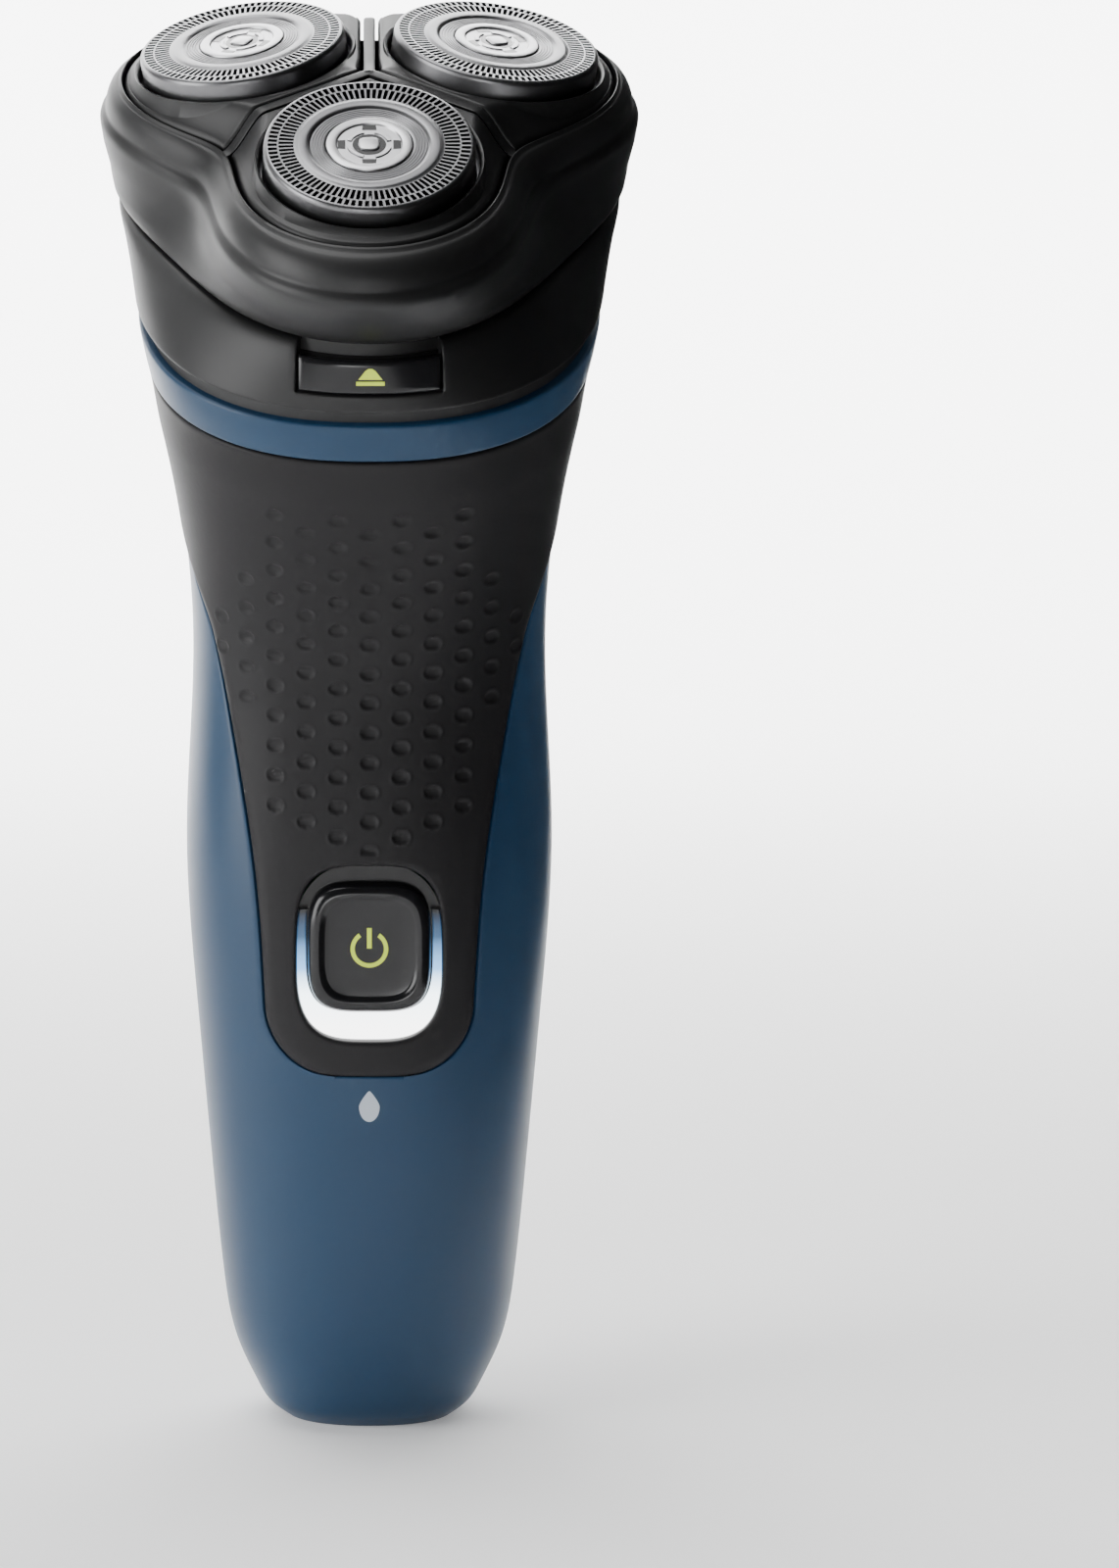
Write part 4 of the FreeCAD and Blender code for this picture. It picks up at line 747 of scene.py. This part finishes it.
def release_button():
    """A bar with softened edges that follows the collar, and its mark."""
    half, low, high = 7.85, -21.85, -18.3
    us = np.linspace(-half, half, 70)
    ws = np.concatenate([[low, -21.82, -21.75, -21.6], np.linspace(-21.3, -18.9, 14), [-18.6, -18.42, -18.33, high]])
    probe = np.linspace(-0.8, 0.8, 400)
    points = np.zeros((len(ws), len(us), 3))
    for i, w in enumerate(ws):
        phi = np.interp(us, skin(level(w), probe)[:, 0], probe)
        points[i] = skin(level(w), phi)
    normal = outward(points)
    margin = np.minimum.outer(np.minimum(ws - low, high - ws), half - np.abs(us))
    roll = np.clip(1 - margin / 0.5, 0, 1)
    face = points + normal * (0.12 - 0.42 * (1 - np.sqrt(1 - roll ** 2)))[..., None]
    back = points - normal * 2.0
    shape = Shape().grid(face).grid(back)
    for a, b in ((face[0], back[0]), (face[-1], back[-1]), (face[:, 0], back[:, 0]), (face[:, -1], back[:, -1])):
        shape.grid(np.array([a, b]))
    made = shape.make("release_bar", "release_button", GLOSS, slot="black_gloss")
    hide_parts("release_button")
    centre = face[len(ws) // 2, len(us) // 2]
    out = Vector(normal[len(ws) // 2, len(us) // 2])
    side = Vector((1, 0, 0))
    up = out.cross(side).normalized()
    place = Matrix(((side.x, up.x, out.x, centre[0]), (side.y, up.y, out.y, centre[1]),
                    (side.z, up.z, out.z, centre[2]), (0, 0, 0, 1)))
    mark = Shape()
    mark.plate([(-1.55, -0.85), (1.55, -0.85), (1.55, -0.42), (-1.55, -0.42)], -0.05, 0.06, place)
    mark.plate([(-1.3, -0.2), (1.3, -0.2), (0.55, 0.78), (0.2, 1.0), (-0.2, 1.0), (-0.55, 0.78)], -0.05, 0.06, place)
    mark.make("release_mark", "release_button", LIME_PAINTED_GLOW, slot="light_guide")


# ---------------------------------------------------------------- shaving head

HEAD_ROWS = [
    # level, radius at front, flank and rear lobe, six-lobe term
    (-16.85, 29.6, 23.6, 28.4, 0.0),
    (-16.85, 30.5, 24.5, 29.3, 0.0),
    (-16.72, 31.0, 24.9, 29.8, 0.0),
    (-16.40, 31.55, 25.1, 30.2, 0.0),
    (-15.80, 32.2, 24.9, 30.55, -0.1),
    (-14.9, 33.0, 24.5, 30.9, -0.1),
    (-13.8, 33.8, 23.9, 31.25, -0.1),
    (-12.6, 34.6, 23.3, 31.6, -0.2),
    (-11.4, 35.25, 22.75, 31.95, -0.3),
    (-10.4, 35.7, 22.45, 32.2, -0.3),
    (-9.7, 35.95, 22.35, 32.35, -0.3),
    (-9.2, 36.0, 22.3, 32.4, -0.3),
    (-8.8, 35.85, 22.1, 32.3, -0.3),
    (-8.5, 35.55, 21.8, 32.1, -0.3),
    (-8.3, 35.25, 21.5, 31.9, -0.3),
    (-8.1, 35.08, 21.35, 31.8, -0.3),
    (-7.8, 35.0, 21.3, 31.78, -0.3),
    (-7.3, 34.85, 21.25, 31.75, -0.3),
    (-6.7, 34.5, 21.0, 31.6, -0.3),
    (-6.1, 34.0, 20.65, 31.35, -0.35),
    (-5.6, 33.4, 20.2, 31.05, -0.35),
    (-5.25, 32.8, 19.75, 30.7, -0.35),
    (-5.1, 32.4, 19.45, 30.5, -0.4),
    (-5.08, 32.15, 19.3, 30.4, -0.4),
    (-5.0, 31.9, 19.15, 30.3, -0.4),
    (-4.8, 31.6, 18.95, 30.2, -0.4),
    (-4.68, 31.35, 18.8, 30.1, -0.4),
    (-4.7, 31.15, 18.65, 30.0, -0.4),
    (-4.9, 31.02, 18.55, 29.92, -0.4),
    (-5.2, 31.0, 18.5, 29.9, -0.4),
    (-9.0, 31.0, 18.5, 29.9, -0.4),
    (-9.0, 33.0, 20.6, 30.0, -0.4),
    (-12.0, 32.4, 21.5, 29.5, -0.2),
    (-16.85, 29.6, 23.6, 28.4, 0.0),
]


def head_shell():
    """The shaving head's black shell, its hinge knuckle, and the three arms between the pods."""
    phi = np.linspace(0, 2 * math.pi, 300, endpoint=False)
    points = np.array([lobed_points(outline_of(f, k, l, s), w, phi) for w, f, k, l, s in HEAD_ROWS])
    made = Shape().grid(points, wrap=True).make("head_shell", "shaving_head", BLACK, slot="black_shell")
    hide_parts("head_frame")
    knuckles("head_knuckle", "shaving_head", ((-7.0, 7.0),), -14.0)
    arms = Shape()
    for angle in (-30.0, 90.0, 210.0):
        turn = math.radians(angle)
        along, side = np.array([math.cos(turn), math.sin(turn)]), np.array([-math.sin(turn), math.cos(turn)])
        rows = []
        for r in np.linspace(0.0, 18.6, 40):
            top = pod_height(*(r * along), angle - 60.0) + (0.1 if angle == 90.0 else 0.0)
            edge, half = (0.35, 0.66) if angle == 90.0 else (0.05, 0.62)
            flank = [(half, -5.0), (half, -edge), (0.91 * half, -0.43 * edge), (0.64 * half, -0.09 * edge)]
            section = [(-out, drop) for out, drop in flank] + [(0.0, 0.0)] + flank[::-1]
            rows.append([head(*(r * along + out * side), top + drop) for out, drop in section])
        arms.grid(np.array(rows))
    arms.make("head_spider", "shaving_head", BLACK, slot="black_shell")


def pod_height(u, v, angle):
    """Level of a pod's top face: a tilted plane that eases down to the shell's rim."""
    turn = math.radians(angle)
    ahead = u * math.cos(turn) + v * math.sin(turn) - POD_RADIUS
    plane = -2.0 / math.cos(LEAN) - ahead * math.tan(LEAN)
    phi = np.arctan2(u, -v)
    room = lobed(POD_OUTLINE, phi) - np.hypot(u, v)
    seam = (u * math.cos(turn) + v * math.sin(turn)) * math.sin(math.radians(60))
    seam = seam - np.abs(-u * math.sin(turn) + v * math.cos(turn)) * 0.5
    groove = 0.55 * (1 - smooth((seam - 0.9) / 1.9))
    ridge = 0.026 * np.maximum(3.4 - seam, 0.0) ** 2
    soft = ridge + (groove - ridge) * smooth((v + 1.0) / 4.0)
    rear = smooth((v - 4.0) / 6.0) * (1 - smooth((np.abs(u) - 4.5) / 5.0))
    return -4.75 + (plane + 4.75) * smooth((room + 0.4) / (5.0 - 3.8 * rear)) - soft


def pod(side, angle):
    """One cutting head's holder: a ring round the guard, run out to the trefoil's edge."""
    n = 240
    turn = math.radians(angle)
    theta = np.linspace(0, 2 * math.pi, n, endpoint=False)
    matrix = pod_matrix(angle)
    hub = np.array([POD_RADIUS * math.cos(turn), POD_RADIUS * math.sin(turn)])
    cosines = np.stack([np.cos(theta + turn), np.sin(theta + turn)], -1)

    def spot_at(distance):
        return hub + distance[:, None] * cosines

    def inside(distance):
        """Whether points that far from the guard's middle clear the arms and the shell's rim."""
        spot = spot_at(distance)
        gap = np.where(spot[:, 1] > 1.0, 0.98, 0.83) + 0.25 * (1 - smooth((np.hypot(*spot.T) - 2.0) / 3.0))
        phi = np.arctan2(spot[:, 0], -spot[:, 1])
        fits = np.hypot(spot[:, 0], spot[:, 1]) < lobed(POD_OUTLINE, phi) - 0.17
        for bound in (-60, 60):
            a = math.radians(angle + bound)
            cross = math.cos(a) * spot[:, 1] - math.sin(a) * spot[:, 0]
            fits &= (cross > gap) if bound < 0 else (-cross > gap)
        return fits

    def round_row(r, z):
        return placed(np.stack([r * np.cos(theta), r * np.sin(theta), np.full(n, z)], -1), matrix)

    def top_row(distance, drop):
        u, v = spot_at(distance).T
        return head(u, v, pod_height(u, v, angle) - drop)

    reach, high = np.full(n, 12.0), np.full(n, 34.0)
    for _ in range(40):
        middle = (reach + high) / 2
        fits = inside(middle)
        reach, high = np.where(fits, middle, reach), np.where(fits, high, middle)
    rows = [round_row(r, z) for r, z in
            ((12.05, -3.8), (12.05, -2.45), (12.12, -2.2), (12.28, -2.03), (12.5, -1.98))]
    start = 12.8
    rows += [top_row(start + (np.maximum(reach - 0.45, start + 0.05) - start) * f, 0.0)
             for f in np.linspace(0.0, 1.0, 22)]
    rows += [top_row(np.maximum(reach - out, start + 0.1), drop) for out, drop in
             ((0.30, 0.05), (0.14, 0.16), (0.04, 0.34), (0.0, 0.6), (0.0, 2.2))]
    rows += [round_row(12.6, -3.8), rows[0]]
    shape = Shape().grid(np.array(rows), wrap=True)
    made = shape.make(f"pod_{side}_holder", f"pod_{side}", BLACK, slot="black_shell")
    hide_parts(f"head_pod_{side}")


SLOTS = 90
SLOT_SHARE = 0.65
SLOT_FLOOR = -0.4


def slotted_ring(shape, matrix, inner, outer, shift):
    """A flat ring of radial slots between two radii; ribs stay closed, slots have walls."""
    step = 2 * math.pi / SLOTS
    for k in range(SLOTS):
        a0 = (k + shift) * step
        a1, a2 = a0 + step * (1 - SLOT_SHARE), a0 + step
        ring = np.array([[(r * math.cos(a), r * math.sin(a), 0.0) for a in np.linspace(a0, a1, 3)]
                         for r in (inner, outer)])
        shape.grid(placed(ring, matrix))
        corners = [(inner, a1), (outer, a1), (outer, a2), (inner, a2), (inner, a1)]
        wall = np.array([[(r * math.cos(a), r * math.sin(a), z) for r, a in corners] for z in (0.0, SLOT_FLOOR)])
        shape.grid(placed(wall, matrix))


def guard(side, angle):
    """Slotted steel guard with a rolled edge, and its hub."""
    matrix = pod_matrix(angle)
    shape = Shape()
    segments = SLOTS * 3
    shape.lathe([(12.4, -4.55), (12.5, -4.3), (12.4, -4.02), (11.75, -3.98), (11.6, -3.8), (11.6, -0.62),
                 (11.56, -0.38), (11.45, -0.17), (11.28, -0.05), (11.1, 0.0), (11.05, 0.0)], matrix, segments)
    slotted_ring(shape, matrix, 10.05, 11.05, 0.0)
    shape.lathe([(10.05, 0.0), (9.88, 0.0)], matrix, segments)
    slotted_ring(shape, matrix, 8.25, 9.88, 0.5)
    profile = [(8.25, 0.0), (8.0, 0.02), (7.85, 0.10), (7.65, 0.14), (7.0, 0.14), (6.75, 0.10), (6.6, 0.0)]
    for k in range(5):
        r = 6.45 - k * 0.30
        profile += [(r, -0.09), (r - 0.09, -0.09), (r - 0.15, -0.03), (r - 0.24, -0.03)]
    profile += [(4.95, -0.05), (4.84, -0.08), (4.76, -0.5), (4.76, -1.2)]
    shape.lathe(profile, matrix, 120)
    shape.lathe([(12.4, -4.55), (11.15, -4.5), (11.15, -0.4), (11.05, -0.4)], matrix, segments)
    made = shape.make(f"guard_{side}_face", f"guard_{side}", STEEL, sharp=30.0, slot="guard_steel")
    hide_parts(f"guard_{side}")
    hub = Shape()
    hub.lathe([(4.74, -1.0), (4.74, -0.02), (4.66, 0.09), (4.52, 0.13), (3.78, 0.13), (3.64, 0.09), (3.56, -0.02),
               (3.50, -0.08), (0.0, -0.08)], matrix, 96)
    turn = np.linspace(0, 2 * math.pi, 48, endpoint=False)
    ex, ey = squircle(1.15, 1.15, 3.2, turn)
    rings = [np.stack([ex * k, ey * k, np.full(48, z)], -1) for k, z in
             ((1.0, -0.08), (1.0, 0.04), (0.93, 0.11), (0.8, 0.14), (0.01, 0.14))]
    hub.grid(placed(np.array(rings), matrix), wrap=True)
    for k in range(4):
        arc = np.radians(np.linspace(k * 90 + 16, k * 90 + 74, 14))
        profile = np.array([[(r * math.cos(a), r * math.sin(a), z) for a in arc] for r, z in
                            ((1.98, -0.08), (1.98, 0.01), (2.06, 0.06), (2.44, 0.06), (2.52, 0.01), (2.52, -0.08))])
        hub.grid(placed(profile, matrix))
        for column in (0, -1):
            start = hub.add(placed(profile[:, column], matrix))
            hub.faces.append([start + j for j in range(6)])
    made = hub.make(f"guard_{side}_hub", f"guard_{side}", BRIGHT, sharp=30.0, slot="guard_steel")
    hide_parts(f"guard_cap_{side}")
    # Black plates and a ring just above the hub's disc are painted shade: they stand for the dark inside of its four
    # slots and of the narrow ring round its middle square.
    dark = Shape()
    for k in range(4):
        at = matrix @ Matrix.Rotation(math.radians(k * 90), 4, "Z")
        dark.plate([(2.60, -0.80), (3.46, -0.72), (3.46, 0.72), (2.60, 0.80)], -0.10, -0.05, at)
    ring = np.array([[(r * math.cos(a), r * math.sin(a), -0.06) for a in np.linspace(0, 2 * math.pi, 60)]
                     for r in (1.18, 1.84)])
    dark.grid(placed(ring, matrix))
    dark.make(f"guard_{side}_hub_slot_shade", f"guard_{side}", GLOSS, slot="black_gloss")


# ---------------------------------------------------------------- marks on the housing

def drop_mark():
    """A small plain water drop below the grip panel."""
    height = 38.6
    ring = []
    for a in np.linspace(0, 2 * math.pi, 40, endpoint=False):
        x = 1.15 * math.sin(a) * (1 - 0.62 * max(math.cos(a), 0.0) ** 1.3)
        station = height + 1.75 * math.cos(a)
        row = skin(station, np.linspace(-0.4, 0.4, 60))
        ring.append((x, np.interp(x, row[:, 0], row[:, 1]), station))
    rings = np.array([np.array(ring) + [0, depth, 0] for depth in (0.05, -0.05)])
    shape = Shape().grid(rings, wrap=True)
    start = shape.add(rings[1])
    shape.faces.append([start + k for k in range(len(ring))])
    shape.make("drop_mark", "handle", PALE, slot="blue_shell")


housing()
panel()
power_button()
light_guide()
neck()
collar()
release_button()
head_shell()
for side, angle in HEADS.items():
    pod(side, angle)
    guard(side, angle)
drop_mark()


# ---------------------------------------------------------------- studio

# Lengths are metres from here on.

def stage_piece(name, verts, faces, finish):
    """A smooth mesh of the studio, which isn't part of the object."""
    mesh = bpy.data.meshes.new(name)
    mesh.from_pydata(verts, [], faces)
    for face in mesh.polygons:
        face.use_smooth = True
    thing = bpy.data.objects.new(name, mesh)
    thing.data.materials.append(finish)
    bpy.context.scene.collection.objects.link(thing)
    return thing


def backdrop():
    """A floor that curves up into a pale wall, and glows a little as a lit sheet does."""
    line = [(-6.0, 0.0), (0.5, 0.0)]
    line += [(0.5 + 0.5 * math.sin(a), 0.5 - 0.5 * math.cos(a)) for a in np.linspace(0.1, math.pi / 2, 16)]
    line += [(1.0, 2.4)]
    shape = Shape().grid(np.array([[(x, y, z) for x in np.linspace(-5.0, 5.0, 3)] for y, z in line]))
    stage_piece("backdrop", shape.verts, shape.faces,
                material("pale paper", (0.86, 0.86, 0.86), 0.9, emission=(1.0, 1.0, 1.0), strength=0.22))


def side_card():
    """A black card that keeps the object's right side dark. It is seen only in reflections."""
    corners = [(0.070, -0.35, 0.0), (0.205, 0.75, 0.0), (0.205, 0.75, 0.55), (0.070, -0.35, 0.55)]
    card = stage_piece("side_card", corners, [(0, 1, 2, 3)],
                       material("black card", (0.004, 0.004, 0.004), 0.9, specular=0.1))
    card.visible_camera = card.visible_shadow = card.visible_diffuse = False


def area_light(name, place, target, size, power, spread=180.0):
    """A rectangular light of so many watts, turned to its target."""
    data = bpy.data.lights.new(name, "AREA")
    data.shape = "RECTANGLE"
    data.size, data.size_y = size
    data.energy = power
    data.spread = math.radians(spread)
    thing = bpy.data.objects.new(name, data)
    bpy.context.scene.collection.objects.link(thing)
    thing.location = place
    thing.rotation_euler = (Vector(target) - Vector(place)).to_track_quat("-Z", "Y").to_euler()


backdrop()
side_card()
area_light("key", (-0.90, -0.42, 0.30), (0, 0, 0.09), (0.6, 0.9), 13.0)
area_light("front", (-0.15, -0.95, 0.10), (0, 0, 0.06), (0.25, 0.25), 1.5)
area_light("top", (-0.20, 0.05, 0.95), (0, 0, 0.12), (0.45, 0.45), 5.0)
area_light("wall", (0.0, 0.75, 1.3), (0, 1.15, 0.3), (2.0, 0.4), 80.0, spread=95.0)

world = bpy.data.worlds.new("studio")
world.use_nodes = True
sky = world.node_tree.nodes["Background"]
sky.inputs["Color"].default_value = (0.9, 0.92, 0.95, 1.0)
sky.inputs["Strength"].default_value = 0.07
bpy.context.scene.world = world

camera_data = bpy.data.cameras.new("camera")
camera_data.lens = 142.07
camera_data.sensor_width = 36.0
camera_data.shift_x = 0.1213
camera_data.shift_y = -0.0456
camera = bpy.data.objects.new("camera", camera_data)
bpy.context.scene.collection.objects.link(camera)
CAMERA_RISE = math.radians(8.0)
CAMERA_DISTANCE = 0.700
camera.location = (0.0, -CAMERA_DISTANCE * math.cos(CAMERA_RISE), 0.0805 + CAMERA_DISTANCE * math.sin(CAMERA_RISE))
camera.rotation_euler = (math.pi / 2 - CAMERA_RISE, 0.0, 0.0)
bpy.context.scene.camera = camera
